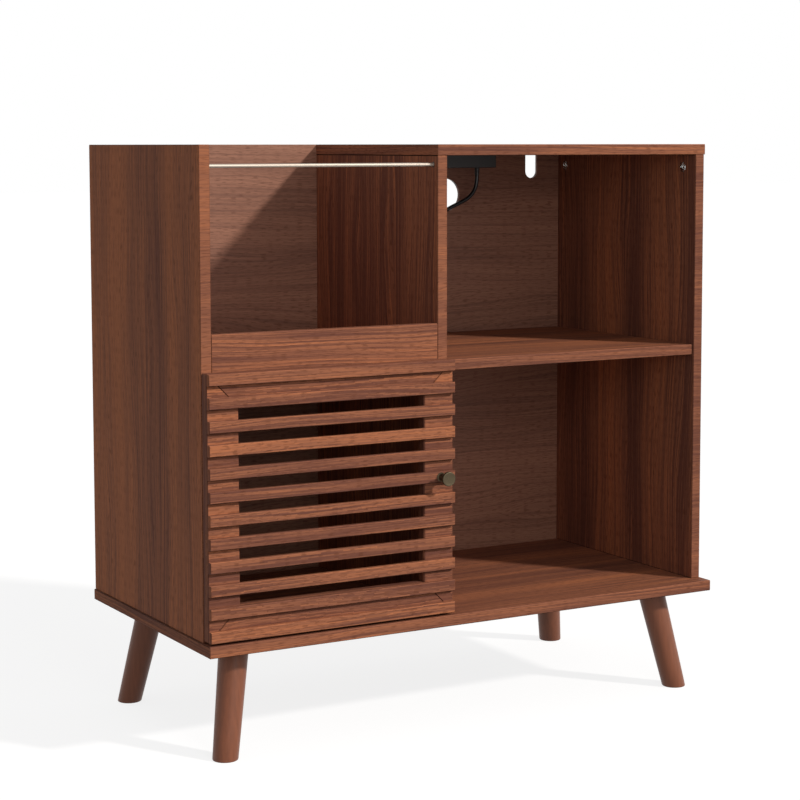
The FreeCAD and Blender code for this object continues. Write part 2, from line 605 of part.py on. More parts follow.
def is_round_opening(edge):
    """Whether an edge of a frame piece is on the frame's front, along its opening."""
    box = edge.BoundBox
    return (abs(box.YMax - FRAME_FRONT_Y) < FIT_PLAY
            and abs(box.YMin - FRAME_FRONT_Y) < FIT_PLAY
            and box.XMin > FRAME_WIDTH - FIT_PLAY
            and box.XMax < DOOR_WIDTH - FRAME_WIDTH + FIT_PLAY
            and box.ZMin > DOOR_BOTTOM_Z + FRAME_WIDTH - FIT_PLAY
            and box.ZMax < DOOR_TOP_Z - FRAME_WIDTH + FIT_PLAY)


def make_slats():
    """Slats across the front of the frame, counted from the top."""
    for index in range(SLAT_COUNT):
        top_z = DOOR_TOP_Z - index * SLAT_PITCH
        slat = block((0, SLAT_FRONT_Y, top_z - SLAT_HEIGHT), (DOOR_WIDTH, FRAME_FRONT_Y, top_z))
        front_edges = [edge for edge in slat.Edges if on_slat_front(edge)]
        keep("door_slat_%02d" % (index + 1), slat.makeChamfer(SLAT_CHAMFER, front_edges))


def on_slat_front(edge):
    """Whether an edge lies in the slats' front plane."""
    box = edge.BoundBox
    return abs(box.YMin - SLAT_FRONT_Y) < FIT_PLAY and abs(box.YMax - SLAT_FRONT_Y) < FIT_PLAY


def turned(profile, axis_start, axis):
    """Turned solid: profile is a list of (radius, distance along the axis) from the axis out."""
    side = Z_AXIS if abs(axis.dot(Z_AXIS)) < 0.5 else X_AXIS
    points = [axis_start + axis * along + side * radius for radius, along in profile]
    wire = Part.makePolygon(points + points[:1])
    return Part.Face(wire).revolve(axis_start, axis, 360)


def make_knob():
    """Turned metal knob and the screw that holds it from behind."""
    outward = Vector(0, -1, 0)
    seat = Vector(KNOB_X, SLAT_FRONT_Y, KNOB_Z)
    head_start = KNOB_REACH - KNOB_HEAD_THICKNESS
    edge = KNOB_EDGE_CHAMFER
    profile = [
        (0, 0), (KNOB_FOOT_RADIUS, 0), (KNOB_FOOT_RADIUS, KNOB_FOOT_THICKNESS),
        (KNOB_NECK_RADIUS, KNOB_FOOT_THICKNESS + KNOB_FOOT_TAPER),
        (KNOB_NECK_RADIUS, head_start - KNOB_SWELL), (KNOB_SWELL_RADIUS, head_start),
        (KNOB_HEAD_RADIUS - edge, head_start), (KNOB_HEAD_RADIUS, head_start + edge),
        (KNOB_HEAD_RADIUS, KNOB_REACH - edge),
        (KNOB_HEAD_RADIUS - edge, KNOB_REACH), (0, KNOB_REACH)]
    knob = turned(profile, seat, outward)
    knob = knob.cut(Part.makeCylinder(KNOB_SCREW_RADIUS, KNOB_SCREW_GRIP, seat, outward))
    keep("door_knob", knob)

    back = Vector(KNOB_X, DOOR_BACK_Y, KNOB_Z)
    head = Part.makeCylinder(KNOB_SCREW_HEAD_RADIUS, KNOB_SCREW_HEAD_HEIGHT, back, Y_AXIS)
    grip = FRAME_THICKNESS + SLAT_THICKNESS + KNOB_SCREW_GRIP
    shank = Part.makeCylinder(KNOB_SCREW_RADIUS, grip, back, outward)
    keep("knob_screw", head.fuse(shank))
    hole = Part.makeCylinder(KNOB_SCREW_RADIUS + FIT_PLAY, grip, back, outward)
    carve("door_right_stile", hole)
    carve("door_slat_%02d" % KNOB_SLAT, hole)


# ---------------------------------------------------------------- hinges

def hinge_cup(z):
    """Steel cup in the door stile with two lugs for its pin and a screwed flange."""
    mouth = Vector(CUP_X, DOOR_BACK_Y, z)
    outward = Vector(0, -1, 0)
    outer = CUP_RADIUS - FIT_PLAY
    inner = outer - CUP_WALL
    cup = Part.makeCylinder(outer, CUP_DEPTH, mouth, outward)
    flange = block(
        (CUP_FLANGE_X[0], DOOR_BACK_Y, z - CUP_FLANGE_HALF_HEIGHT),
        (CUP_FLANGE_X[1], DOOR_BACK_Y + CUP_FLANGE_THICKNESS, z + CUP_FLANGE_HALF_HEIGHT))
    flange = flange.makeFillet(
        CUP_FLANGE_CORNER, [edge for edge in flange.Edges if runs_along_y(edge)])
    bowl = Part.makeCylinder(
        inner, CUP_DEPTH - CUP_WALL + CUP_FLANGE_THICKNESS,
        mouth + Vector(0, CUP_FLANGE_THICKNESS, 0), outward)
    bowl_deep = Part.makeCylinder(inner, CUP_DEPTH - CUP_WALL, mouth, outward)
    shell = cup.fuse(flange).cut([bowl, bowl_deep])
    floor_y = DOOR_BACK_Y - CUP_DEPTH + CUP_WALL
    lug_inner = ARM_HALF_WIDTH + LINK_PLATE + 2 * HINGE_SIDE_PLAY
    lugs = []
    for side in (-1, 1):
        z_low = min(side * lug_inner, side * (lug_inner + CUP_LUG_THICKNESS)) + z
        post = block(
            (CUP_PIN_X - HINGE_EYE_RADIUS, floor_y, z_low),
            (CUP_PIN_X + HINGE_EYE_RADIUS, CUP_PIN_Y, z_low + CUP_LUG_THICKNESS))
        eye = rod_between(
            HINGE_EYE_RADIUS, (CUP_PIN_X, CUP_PIN_Y, z_low), Z_AXIS, CUP_LUG_THICKNESS)
        lugs.append(post.fuse(eye))
    cup_body = shell.fuse(lugs)
    pin_span = 2 * (lug_inner + CUP_LUG_THICKNESS)
    pin_hole = rod_between(
        HINGE_PIN_RADIUS, (CUP_PIN_X, CUP_PIN_Y, z - pin_span / 2), Z_AXIS, pin_span)
    return cup_body.cut(pin_hole).removeSplitter(), pin_span


def runs_along_y(edge):
    """Whether a straight edge is parallel to Y."""
    box = edge.BoundBox
    return box.XLength < FIT_PLAY and box.ZLength < FIT_PLAY


def hinge_link(z):
    """Link of two plates and a web, turning on the arm's pin and on the cup's pin."""
    arm_eye = Vector(ARM_PIN_X, ARM_PIN_Y, 0)
    cup_eye = Vector(CUP_PIN_X, CUP_PIN_Y, 0)
    along = cup_eye - arm_eye
    length = along.Length
    along = along.normalize()
    across = Z_AXIS.cross(along)
    inner = ARM_HALF_WIDTH + HINGE_SIDE_PLAY

    def slab(start, end, half_width, z_low, z_high):
        corners = [start - across * half_width, end - across * half_width,
                   end + across * half_width, start + across * half_width]
        return plan_profile([(point.x, point.y) for point in corners], z_low, z_high)

    pieces = []
    for z_low in (z - inner - LINK_PLATE, z + inner):
        z_high = z_low + LINK_PLATE
        pieces.append(slab(arm_eye, cup_eye, LINK_BAR_RADIUS, z_low, z_high))
        for eye in (arm_eye, cup_eye):
            pieces.append(rod_between(HINGE_EYE_RADIUS, (eye.x, eye.y, z_low), Z_AXIS, LINK_PLATE))
    web_start = cup_eye - along * (length * LINK_WEB_SHARE)
    pieces.append(slab(web_start, cup_eye, LINK_BAR_RADIUS, z - inner, z + inner))
    link = pieces[0].fuse(pieces[1:])
    bore_radius = HINGE_PIN_RADIUS + HINGE_PIN_PLAY
    span = 2 * (inner + LINK_PLATE)
    bores = [rod_between(bore_radius, (eye.x, eye.y, z - span / 2), Z_AXIS, span)
             for eye in (arm_eye, cup_eye)]
    return link.cut(bores).removeSplitter()


def hinge_arm(z):
    """Cranked arm from the mounting plate to the pin in front of the side panel's edge."""
    base_x = BOARD + PLATE_THICKNESS
    top_x = base_x + ARM_BODY_THICKNESS
    neck_end_y = PLATE_Y[0] + ARM_NECK_LAP
    outline = [(ARM_PIN_X - HINGE_EYE_RADIUS, ARM_PIN_Y), (ARM_PIN_X + HINGE_EYE_RADIUS, ARM_PIN_Y)]
    outline += [(ARM_PIN_X + x, y) for x, y in ARM_NECK_OUTER]
    outline += [(top_x, ARM_NECK_ROOT_Y[0]), (top_x, neck_end_y)]
    outline += [(base_x, neck_end_y), (base_x, ARM_NECK_ROOT_Y[1])]
    outline += [(ARM_PIN_X + x, y) for x, y in ARM_NECK_INNER]
    neck = plan_profile(outline, z - ARM_HALF_WIDTH, z + ARM_HALF_WIDTH)
    eye = rod_between(
        HINGE_EYE_RADIUS, (ARM_PIN_X, ARM_PIN_Y, z - ARM_HALF_WIDTH), Z_AXIS, 2 * ARM_HALF_WIDTH)
    body = block(
        (base_x, PLATE_Y[0] + ARM_BODY_SETBACK, z - ARM_BODY_HALF_WIDTH),
        (top_x, PLATE_Y[1], z + ARM_BODY_HALF_WIDTH))
    channel = block(
        (base_x, PLATE_Y[0] + ARM_SLOT_SETBACK, z - ARM_SLOT_HALF_WIDTH),
        (top_x - LINK_PLATE, PLATE_Y[1], z + ARM_SLOT_HALF_WIDTH))
    body = body.cut(channel)
    arm = neck.fuse([eye, body])
    pin_hole = rod_between(
        HINGE_PIN_RADIUS, (ARM_PIN_X, ARM_PIN_Y, z - ARM_HALF_WIDTH), Z_AXIS, 2 * ARM_HALF_WIDTH)
    return arm.cut(pin_hole).removeSplitter()


def hinge_plate(z):
    """Cross-shaped mounting plate on the side panel, with a raised rib inside the arm."""
    spine = block(
        (BOARD, PLATE_Y[0], z - ARM_BODY_HALF_WIDTH),
        (BOARD + PLATE_THICKNESS, PLATE_Y[1], z + ARM_BODY_HALF_WIDTH))
    wings = block(
        (BOARD, PLATE_SETBACK - PLATE_WING_DEPTH / 2, z - PLATE_HALF_HEIGHT),
        (BOARD + PLATE_THICKNESS, PLATE_SETBACK + PLATE_WING_DEPTH / 2, z + PLATE_HALF_HEIGHT))
    rib_half = ARM_SLOT_HALF_WIDTH - FIT_PLAY
    rib = block(
        (BOARD + PLATE_THICKNESS, PLATE_Y[0] + ARM_RIB_SETBACK, z - rib_half),
        (BOARD + PLATE_THICKNESS + ARM_BODY_THICKNESS - LINK_PLATE - FIT_PLAY,
         PLATE_Y[1] - ARM_RIB_REAR_GAP, z + rib_half))
    return spine.fuse([wings, rib]).removeSplitter()


def screw(tip_direction, seat, head_radius, head_height, radius, length):
    """Plain screw: seat is under its head, which stands on the seat."""
    seat = Vector(*seat)
    head = Part.makeCylinder(head_radius, head_height, seat, tip_direction * -1)
    shank = Part.makeCylinder(radius, length, seat, tip_direction)
    return head.fuse(shank)


def make_hinges():
    """Two concealed hinges: cups and their pins on the door, arms and plates on the cabinet."""
    cups, links, arms, plates, cup_pins, arm_pins = [], [], [], [], [], []
    cabinet_screws, door_screws = [], []
    into_side = Vector(-1, 0, 0)
    into_door = Vector(0, -1, 0)
    hole = SMALL_SCREW_RADIUS
    shank = hole - FIT_PLAY
    for z in HINGE_HEIGHTS:
        cup, pin_span = hinge_cup(z)
        carve("door_left_stile", rod_between(
            CUP_RADIUS, (CUP_X, DOOR_BACK_Y, z), into_door, CUP_DEPTH))
        cup_pins.append(rod_between(
            HINGE_PIN_RADIUS, (CUP_PIN_X, CUP_PIN_Y, z - pin_span / 2), Z_AXIS, pin_span))
        arm_span = 2 * (ARM_HALF_WIDTH + HINGE_SIDE_PLAY + LINK_PLATE)
        arm_pins.append(rod_between(
            HINGE_PIN_RADIUS, (ARM_PIN_X, ARM_PIN_Y, z - arm_span / 2), Z_AXIS, arm_span))
        plate = hinge_plate(z)
        arm = hinge_arm(z)
        for side in (-1, 1):
            flange_x = sum(CUP_FLANGE_X) / 2
            seat = (flange_x, DOOR_BACK_Y + CUP_FLANGE_THICKNESS, z + side * CUP_SCREW_SPACING / 2)
            door_screws.append(screw(
                into_door, seat, SMALL_SCREW_HEAD_RADIUS, SMALL_SCREW_HEAD_HEIGHT / 2,
                shank, SMALL_SCREW_LENGTH))
            drill = rod_between(hole, seat, into_door, SMALL_SCREW_LENGTH)
            cup = cup.cut(drill)
            carve("door_left_stile", drill)
            seat = (BOARD + PLATE_THICKNESS, PLATE_SETBACK, z + side * PLATE_SCREW_SPACING / 2)
            cabinet_screws.append(screw(
                into_side, seat, SMALL_SCREW_HEAD_RADIUS, SMALL_SCREW_HEAD_HEIGHT,
                shank, SMALL_SCREW_LENGTH))
            drill = rod_between(hole, seat, into_side, SMALL_SCREW_LENGTH)
            plate = plate.cut(drill)
            carve("left_side_panel", drill)
        arm_face_x = BOARD + PLATE_THICKNESS + ARM_BODY_THICKNESS
        for y in (PLATE_SETBACK, PLATE_Y[1] - ARM_REAR_SCREW_INSET):
            seat = (arm_face_x, y, z)
            cabinet_screws.append(screw(
                into_side, seat, SMALL_SCREW_HEAD_RADIUS, SMALL_SCREW_HEAD_HEIGHT,
                shank, ARM_BODY_THICKNESS))
            drill = rod_between(hole, seat, into_side, ARM_BODY_THICKNESS)
            arm = arm.cut(drill)
            plate = plate.cut(drill)
        cups.append(cup)
        links.append(hinge_link(z))
        arms.append(arm)
        plates.append(plate)
    keep("hinge_cups", *cups)
    keep("hinge_cup_pins", *cup_pins)
    keep("hinge_links", *links)
    keep("hinge_arms", *arms)
    keep("hinge_arm_pins", *arm_pins)
    keep("hinge_mounting_plates", *plates)
    return cabinet_screws, door_screws


def make_catch():
    """Magnetic catch under the shelf, its strike plate on the door, and two door bumpers."""
    z_low = SHELF_Z - CATCH_HEIGHT
    y_front = SHELF_SETBACK
    x_low = CATCH_X - CATCH_WIDTH / 2
    body = block((x_low, y_front, z_low), (x_low + CATCH_WIDTH, y_front + CATCH_DEPTH, SHELF_Z))
    ear = CATCH_EAR_WIDTH
    ear_cut_z = SHELF_Z - CATCH_EAR_THICKNESS
    for x in (x_low, x_low + CATCH_WIDTH - ear):
        body = body.cut(block((x, y_front, z_low), (x + ear, y_front + CATCH_DEPTH, ear_cut_z)))
    poles = []
    pole_half = CATCH_WIDTH / 2 - ear - CATCH_POLE_MARGIN
    pole_y = DOOR_BACK_Y + STRIKE_THICKNESS + CATCH_GAP
    for z in (z_low + CATCH_POLE_MARGIN, SHELF_Z - CATCH_UPPER_POLE_DROP):
        pole = block(
            (CATCH_X - pole_half, pole_y, z),
            (CATCH_X + pole_half, y_front + CATCH_DEPTH / 2, z + CATCH_POLE_THICKNESS))
        poles.append(pole)
    body = body.cut(poles)
    into_shelf = Z_AXIS
    into_door = Vector(0, -1, 0)
    hole = SMALL_SCREW_RADIUS
    shank = hole - FIT_PLAY
    cabinet_screws = []
    for x in (x_low + ear / 2, x_low + CATCH_WIDTH - ear / 2):
        seat = (x, y_front + CATCH_DEPTH / 2, ear_cut_z)
        cabinet_screws.append(screw(
            into_shelf, seat, SMALL_SCREW_HEAD_RADIUS, SMALL_SCREW_HEAD_HEIGHT,
            shank, SMALL_SCREW_LENGTH))
        drill = rod_between(hole, seat, into_shelf, SMALL_SCREW_LENGTH)
        body = body.cut(drill)
        carve("shelf_panel", drill)
    keep("catch_body", body)
    keep("catch_pole_plates", *poles)

    middle_z = (poles[0].BoundBox.ZMin + poles[1].BoundBox.ZMax) / 2
    strike = block(
        (CATCH_X - STRIKE_WIDTH / 2, DOOR_BACK_Y, middle_z - STRIKE_HEIGHT / 2),
        (CATCH_X + STRIKE_WIDTH / 2, DOOR_BACK_Y + STRIKE_THICKNESS, middle_z + STRIKE_HEIGHT / 2))
    door_screws = []
    for side in (-1, 1):
        x = CATCH_X + side * (STRIKE_WIDTH / 2 - STRIKE_SCREW_INSET)
        seat = (x, DOOR_BACK_Y + STRIKE_THICKNESS, middle_z)
        door_screws.append(screw(
            into_door, seat, SMALL_SCREW_HEAD_RADIUS, SMALL_SCREW_HEAD_HEIGHT / 2,
            shank, SMALL_SCREW_LENGTH))
        drill = rod_between(hole, seat, into_door, SMALL_SCREW_LENGTH)
        strike = strike.cut(drill)
        carve("door_top_rail", drill)
    keep("strike_plate", strike)

    bumper_x = DIVIDER_X + BOARD / 2
    keep("door_bumpers", *[
        rod_between(BUMPER_RADIUS, (bumper_x, DOOR_BACK_Y, z), Y_AXIS, DOOR_GAP - CATCH_GAP)
        for z in (DOOR_BOTTOM_Z + BUMPER_INSET, DOOR_TOP_Z - BUMPER_INSET)])
    return cabinet_screws, door_screws


# ---------------------------------------------------------------- legs

def make_legs():
    """Four round tapered legs, splayed both ways, each on a vertical hanger bolt."""
    front_y = -BOTTOM_FRONT_OVERHANG + LEG_INSET
    rear_y = SIDE_DEPTH - LEG_INSET
    left_x = LEG_INSET - BOTTOM_SIDE_OVERHANG
    right_x = CABINET_WIDTH + BOTTOM_SIDE_OVERHANG - LEG_INSET
    corners = {
        "front_left_leg": (left_x, front_y, -1, -1),
        "front_right_leg": (right_x, front_y, 1, -1),
        "rear_left_leg": (left_x, rear_y, -1, 1),
        "rear_right_leg": (right_x, rear_y, 1, 1)}
    bolts = []
    inserts = []
    for name, (x, y, out_x, out_y) in corners.items():
        foot = Vector(x + out_x * LEG_SPLAY, y + out_y * LEG_SPLAY, 0)
        head = Vector(x, y, LEG_HEIGHT)
        slope = (head - foot) * (LEG_FOOT_CHAMFER / LEG_HEIGHT)
        sections = [
            (foot, LEG_FOOT_RADIUS - LEG_FOOT_CHAMFER), (foot + slope, LEG_FOOT_RADIUS),
            (head, LEG_TOP_RADIUS)]
        wires = [Part.Wire(Part.makeCircle(radius, centre)) for centre, radius in sections]
        leg = Part.makeLoft(wires, True, True)
        bolt_low = (x, y, LEG_HEIGHT - LEG_BOLT_IN_LEG)
        bolt_length = LEG_BOLT_IN_LEG + LEG_INSERT_LENGTH
        keep(name, leg.cut(rod_between(LEG_BOLT_RADIUS, bolt_low, Z_AXIS, LEG_BOLT_IN_LEG)))
        bolts.append(rod_between(LEG_BOLT_RADIUS - FIT_PLAY, bolt_low, Z_AXIS, bolt_length))
        seat = (x, y, BOTTOM_Z)
        insert = rod_between(LEG_INSERT_RADIUS - FIT_PLAY, seat, Z_AXIS, LEG_INSERT_LENGTH)
        bore = rod_between(LEG_BOLT_RADIUS, seat, Z_AXIS, LEG_INSERT_LENGTH)
        inserts.append(insert.cut(bore))
        carve("bottom_panel", rod_between(LEG_INSERT_RADIUS, seat, Z_AXIS, LEG_INSERT_LENGTH))
    keep("leg_fixings", *bolts, *inserts)


# ---------------------------------------------------------------- power strip and its lead

def make_power_strip():
    """Power strip under the top board, sockets facing down, held by two screws."""
    x_high = DIVIDER_RIGHT_X + STRIP_FROM_DIVIDER
    x_low = x_high - STRIP_LENGTH
    z_low = TOP_UNDER_Z - STRIP_HEIGHT
    rear_y = BACK_FRONT_Y - STRIP_FROM_BACK
    front_y = rear_y - STRIP_DEPTH
    housing = block((x_low, front_y, z_low), (x_high, rear_y, TOP_UNDER_Z))
    housing = housing.makeFillet(STRIP_EDGE_RADIUS, [
        edge for edge in housing.Edges if edge.BoundBox.ZMin < TOP_UNDER_Z - STRIP_EDGE_RADIUS])
    middle_y = (front_y + rear_y) / 2
    faces = []
    face_x, face_y, face_z = SOCKET_FACE
    slot_x, slot_y, slot_z = SOCKET_SLOT
    for index in range(STRIP_SOCKET_COUNT):
        x = x_low + STRIP_SOCKET_FIRST + index * STRIP_SOCKET_PITCH
        housing = housing.cut(block(
            (x - face_x / 2, middle_y - face_y / 2, z_low),
            (x + face_x / 2, middle_y + face_y / 2, z_low + face_z + SOCKET_RECESS)))
        face = block(
            (x - face_x / 2 + FIT_PLAY, middle_y - face_y / 2 + FIT_PLAY, z_low + SOCKET_RECESS),
            (x + face_x / 2 - FIT_PLAY, middle_y + face_y / 2 - FIT_PLAY,
             z_low + SOCKET_RECESS + face_z))
        slots = [block(
            (x + side * SOCKET_SLOT_SPACING / 2 - slot_x / 2, middle_y - slot_y, z_low),
            (x + side * SOCKET_SLOT_SPACING / 2 + slot_x / 2, middle_y, z_low + SOCKET_RECESS + slot_z))
            for side in (-1, 1)]
        earth = rod_between(
            SOCKET_EARTH_RADIUS, (x, middle_y + SOCKET_EARTH_OFFSET, z_low), Z_AXIS,
            SOCKET_RECESS + slot_z)
        faces.append(face.cut(slots + [earth]))
    keep("power_strip_sockets", *faces)

    screws = []
    hole = SMALL_SCREW_RADIUS
    length = STRIP_HEIGHT - STRIP_SCREW_SINK + STRIP_SCREW_GRIP
    last_socket_x = x_low + STRIP_SOCKET_FIRST + (STRIP_SOCKET_COUNT - 1) * STRIP_SOCKET_PITCH
    for x in (x_low + STRIP_SCREW_INSET, last_socket_x + STRIP_SCREW_PAST_SOCKETS):
        seat = (x, middle_y, z_low + STRIP_SCREW_SINK)
        screws.append(screw(
            Z_AXIS, seat, SMALL_SCREW_HEAD_RADIUS, SMALL_SCREW_HEAD_HEIGHT, hole - FIT_PLAY, length))
        drill = rod_between(hole, seat, Z_AXIS, length)
        sink = rod_between(
            SMALL_SCREW_HEAD_RADIUS + FIT_PLAY, (x, middle_y, z_low), Z_AXIS, STRIP_SCREW_SINK)
        housing = housing.cut([drill, sink])
        carve("top_panel", drill)

    exit_x, exit_y, exit_z = LEAD_ROUTE[0]
    relief_top = Vector(exit_x, exit_y, exit_z + RELIEF_LENGTH)
    down = Vector(0, 0, -1)
    relief = Part.makeCone(RELIEF_TOP_RADIUS, RELIEF_END_RADIUS, RELIEF_LENGTH, relief_top, down)
    housing = housing.cut(Part.makeCone(
        RELIEF_TOP_RADIUS + FIT_PLAY, RELIEF_END_RADIUS + FIT_PLAY, RELIEF_LENGTH, relief_top, down))
    keep("power_strip_housing", housing)
    keep("lead_strain_relief", relief)
    return screws


def lead_points(offsets, height):
    """Points of the lead from offsets to the divider, the back panel and a height."""
    return [(DIVIDER_RIGHT_X + x, BACK_FRONT_Y + y, height + z) for x, y, z in offsets]


LEAD_ROUTE = lead_points(LEAD_DROP, TOP_UNDER_Z) + lead_points(LEAD_LANDING, SHELF_TOP_Z)
TAIL_ROUTE = lead_points(LEAD_TAIL, SHELF_TOP_Z)
COIL_CENTRE = (DIVIDER_RIGHT_X + COIL_FROM_DIVIDER, BACK_FRONT_Y - COIL_FROM_BACK)
LEAD_LOW_Z = SHELF_TOP_Z + COIL_LIFT + LEAD_RADIUS
LEAD_HIGH_Z = LEAD_LOW_Z + 2 * LEAD_RADIUS * (COIL_LAYERS - 1)


def route_tube(route, radius):
    """Tube along a route of straight runs joined by tangent arcs."""
    points = [Vector(*point) for point in route]
    edges = []
    start = points[0]
    for index in range(1, len(points) - 1):
        corner = points[index]
        back = points[index - 1] - corner
        onward = points[index + 1] - corner
        trim = LEAD_ARC_SHARE * min(back.Length, onward.Length)
        back = back.normalize()
        onward = onward.normalize()
        half_turn = (math.pi - back.getAngle(onward)) / 2
        arc_radius = trim / math.tan(half_turn)
        arc_start = corner + back * trim
        arc_end = corner + onward * trim
        inward = (back + onward).normalize()
        reach = arc_radius / math.cos(half_turn) - arc_radius
        edges.append(Part.LineSegment(start, arc_start).toShape())
        edges.append(Part.Arc(arc_start, corner + inward * reach, arc_end).toShape())
        start = arc_end
    edges.append(Part.LineSegment(start, points[-1]).toShape())
    spine = Part.Wire(edges)
    section = Part.Wire(Part.makeCircle(radius, points[0], points[1] - points[0]))
    return spine.makePipeShell([section], True, False)


def make_lead():
    """Mains lead: the hanging stretch, a tied coil on the shelf and the plug beside it."""
    keep("mains_lead", route_tube(LEAD_ROUTE, LEAD_RADIUS), route_tube(TAIL_ROUTE, LEAD_RADIUS))

    centre = Vector(COIL_CENTRE[0], COIL_CENTRE[1], 0)
    inner = COIL_TURN_RADII[0] - LEAD_RADIUS
    outer = COIL_TURN_RADII[-1] + LEAD_RADIUS
    low = LEAD_LOW_Z - LEAD_RADIUS
    high = LEAD_HIGH_Z + LEAD_RADIUS
    section = Part.makePolygon([
        centre + Vector(x, 0, z) for x, z in (
            (inner, low), (outer, low), (outer, high), (inner, high), (inner, low))])
    ring = Part.Face(section).revolve(centre, Z_AXIS, 360)
    ring = ring.makeFillet(LEAD_RADIUS - FIT_PLAY, [edge for edge in ring.Edges if is_rim(edge)])
    stubs = [
        rod_between(LEAD_RADIUS, (centre.x + COIL_TURN_RADII[-1], centre.y, LEAD_LOW_Z),
                    Y_AXIS, COIL_STUB),
        rod_between(LEAD_RADIUS, (centre.x - COIL_TURN_RADII[-1], centre.y, LEAD_HIGH_Z),
                    Y_AXIS, COIL_STUB)]
    keep("mains_lead_coil", ring.fuse(stubs).removeSplitter())

    tie_low = low - TIE_PLAY
    tie_high = high + TIE_PLAY
    tie_near = centre.y - outer - TIE_PLAY
    tie_far = centre.y - inner + TIE_INNER_PLAY
    half = TIE_WIDTH / 2
    outside = block(
        (centre.x - half, tie_near - TIE_THICKNESS, tie_low - TIE_THICKNESS),
        (centre.x + half, tie_far + TIE_THICKNESS, tie_high + TIE_THICKNESS))
    inside = block((centre.x - half, tie_near, tie_low), (centre.x + half, tie_far, tie_high))
    keep("lead_tie", outside.cut(inside))


def is_rim(edge):
    """Whether an edge is one of the coil's full circles."""
    return edge.BoundBox.ZLength < FIT_PLAY and edge.BoundBox.XLength > 2 * LEAD_RADIUS


def make_plug():
    """Moulded plug with a tapered strain relief, two flat blades and a round earth pin."""
    start = Vector(*TAIL_ROUTE[-1])
    relief = Part.makeCone(
        PLUG_RELIEF_RADII[0], PLUG_RELIEF_RADII[1], PLUG_RELIEF_LENGTH, start, X_AXIS)
    body_x = start.x + PLUG_RELIEF_LENGTH
    body = block(
        (body_x, start.y - PLUG_WIDTH / 2, start.z - PLUG_HEIGHT / 2),
        (body_x + PLUG_LENGTH, start.y + PLUG_WIDTH / 2, start.z + PLUG_HEIGHT / 2))
    body = body.makeFillet(PLUG_EDGE_RADIUS, body.Edges)
    face_x = body_x + PLUG_LENGTH
    long, wide, thick = BLADE
    pin_z = start.z + PLUG_PIN_RISE
    pins = []
    for side in (-1, 1):
        y = start.y + side * BLADE_SPACING / 2
        pins.append(block(
            (face_x, y - thick / 2, pin_z - wide / 2), (face_x + long, y + thick / 2, pin_z + wide / 2)))
    earth_start = (face_x, start.y, pin_z - EARTH_PIN_OFFSET)
    pins.append(rod_between(EARTH_PIN_RADIUS, earth_start, X_AXIS, EARTH_PIN_LENGTH))
    keep("plug_body", body.fuse(relief).removeSplitter())
    keep("plug_pins", *pins)


def write_parts():
    """Write one STEP file for each node."""
    os.makedirs("parts", exist_ok=True)
    for name, solids in parts.items():
        moved = [solid.translated(ORIGIN_SHIFT) for solid in solids]
        shape = moved[0] if len(moved) == 1 else Part.makeCompound(moved)
        for solid in moved:
            if not solid.isValid() or len(solid.Solids) != 1:
                print("check", name, "valid", solid.isValid(), "solids", len(solid.Solids))
        shape.exportStep("parts/" + name + ".step")
    print(len(parts), "nodes")


make_carcass()
make_back_panels()
make_cam_fittings()
make_dowels()
keep("carcass_screws", *make_bottom_screws(), *make_back_screws())
make_record_rod()
make_door_frame()
make_slats()
make_knob()
hinge_cabinet_screws, hinge_door_screws = make_hinges()
catch_cabinet_screws, catch_door_screws = make_catch()
make_legs()
strip_screws = make_power_strip()
make_lead()
make_plug()
keep("cabinet_fitting_screws", *hinge_cabinet_screws, *catch_cabinet_screws, *strip_screws)
keep("door_fitting_screws", *hinge_door_screws, *catch_door_screws)
write_parts()
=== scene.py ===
"""Record cabinet: finishes, turned parts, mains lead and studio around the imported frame."""
import math
from itertools import product

import bpy
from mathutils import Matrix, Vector


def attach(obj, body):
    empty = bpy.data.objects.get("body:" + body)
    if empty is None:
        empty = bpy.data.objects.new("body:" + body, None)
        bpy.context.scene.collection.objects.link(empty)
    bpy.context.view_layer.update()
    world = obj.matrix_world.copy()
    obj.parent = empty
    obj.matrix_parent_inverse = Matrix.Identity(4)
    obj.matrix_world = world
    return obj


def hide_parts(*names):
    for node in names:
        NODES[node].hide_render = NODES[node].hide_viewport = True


bl_info = {
    "name": "Record Cabinet",
    "version": (1, 0, 0),
    "blender": (4, 5, 0),
    "location": "View3D > Sidebar > Cabinet",
    "description": "Dresses a walnut record cabinet with a slatted door and lights it in a studio",
    "category": "Object",
}

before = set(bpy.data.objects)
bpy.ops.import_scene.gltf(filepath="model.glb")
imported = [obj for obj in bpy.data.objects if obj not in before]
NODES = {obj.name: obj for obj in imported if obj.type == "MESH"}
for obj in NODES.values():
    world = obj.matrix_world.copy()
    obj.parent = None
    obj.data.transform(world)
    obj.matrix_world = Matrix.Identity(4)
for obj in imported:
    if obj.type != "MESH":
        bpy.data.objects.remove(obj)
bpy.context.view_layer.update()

# The scene's middle in the working frame, which starts at the left side panel's front edge on
# the floor and counts in millimetres. Plain numbers of places and profiles are of this frame.
MIDDLE = (398.0, 165.0, 0.0)
RIGHT, LEFT = (1, 0, 0), (-1, 0, 0)
BACK, FRONT = (0, 1, 0), (0, -1, 0)
UP, DOWN = (0, 0, 1), (0, 0, -1)

# A board's pass index holds PLACE_STEP times its place on the printed sheet, ten times how much
# its front faces are darkened, and its tone from 0, dark, to 9. On the right side panel and the
# top board that darkening is painted shade, where the light falls off towards the right.
PLACE_STEP = 100
FRONT_SHADE_STEP = 10
# The bottom board's low tone is painted shade: it darkens the whole board to dim its top face.
BOARDS = {
    "left_side_panel": 39, "right_side_panel": 93, "upper_divider": 2, "lower_divider": 2,
    "bottom_panel": 1, "top_panel": 34, "shelf_panel": 2, "bin_front_rail": 4,
    "upper_back_panel": 6, "lower_back_panel": 5}
FIRST_BOARD, FIRST_SLAT, FIRST_STILE = 1, 20, 40
SLAT_TONES = (0, 3, 1, 2, 0, 1, 3, 1, 0, 2, 0, 2)
DOOR_FRAME = ("door_left_stile", "door_right_stile", "door_top_rail", "door_bottom_rail")

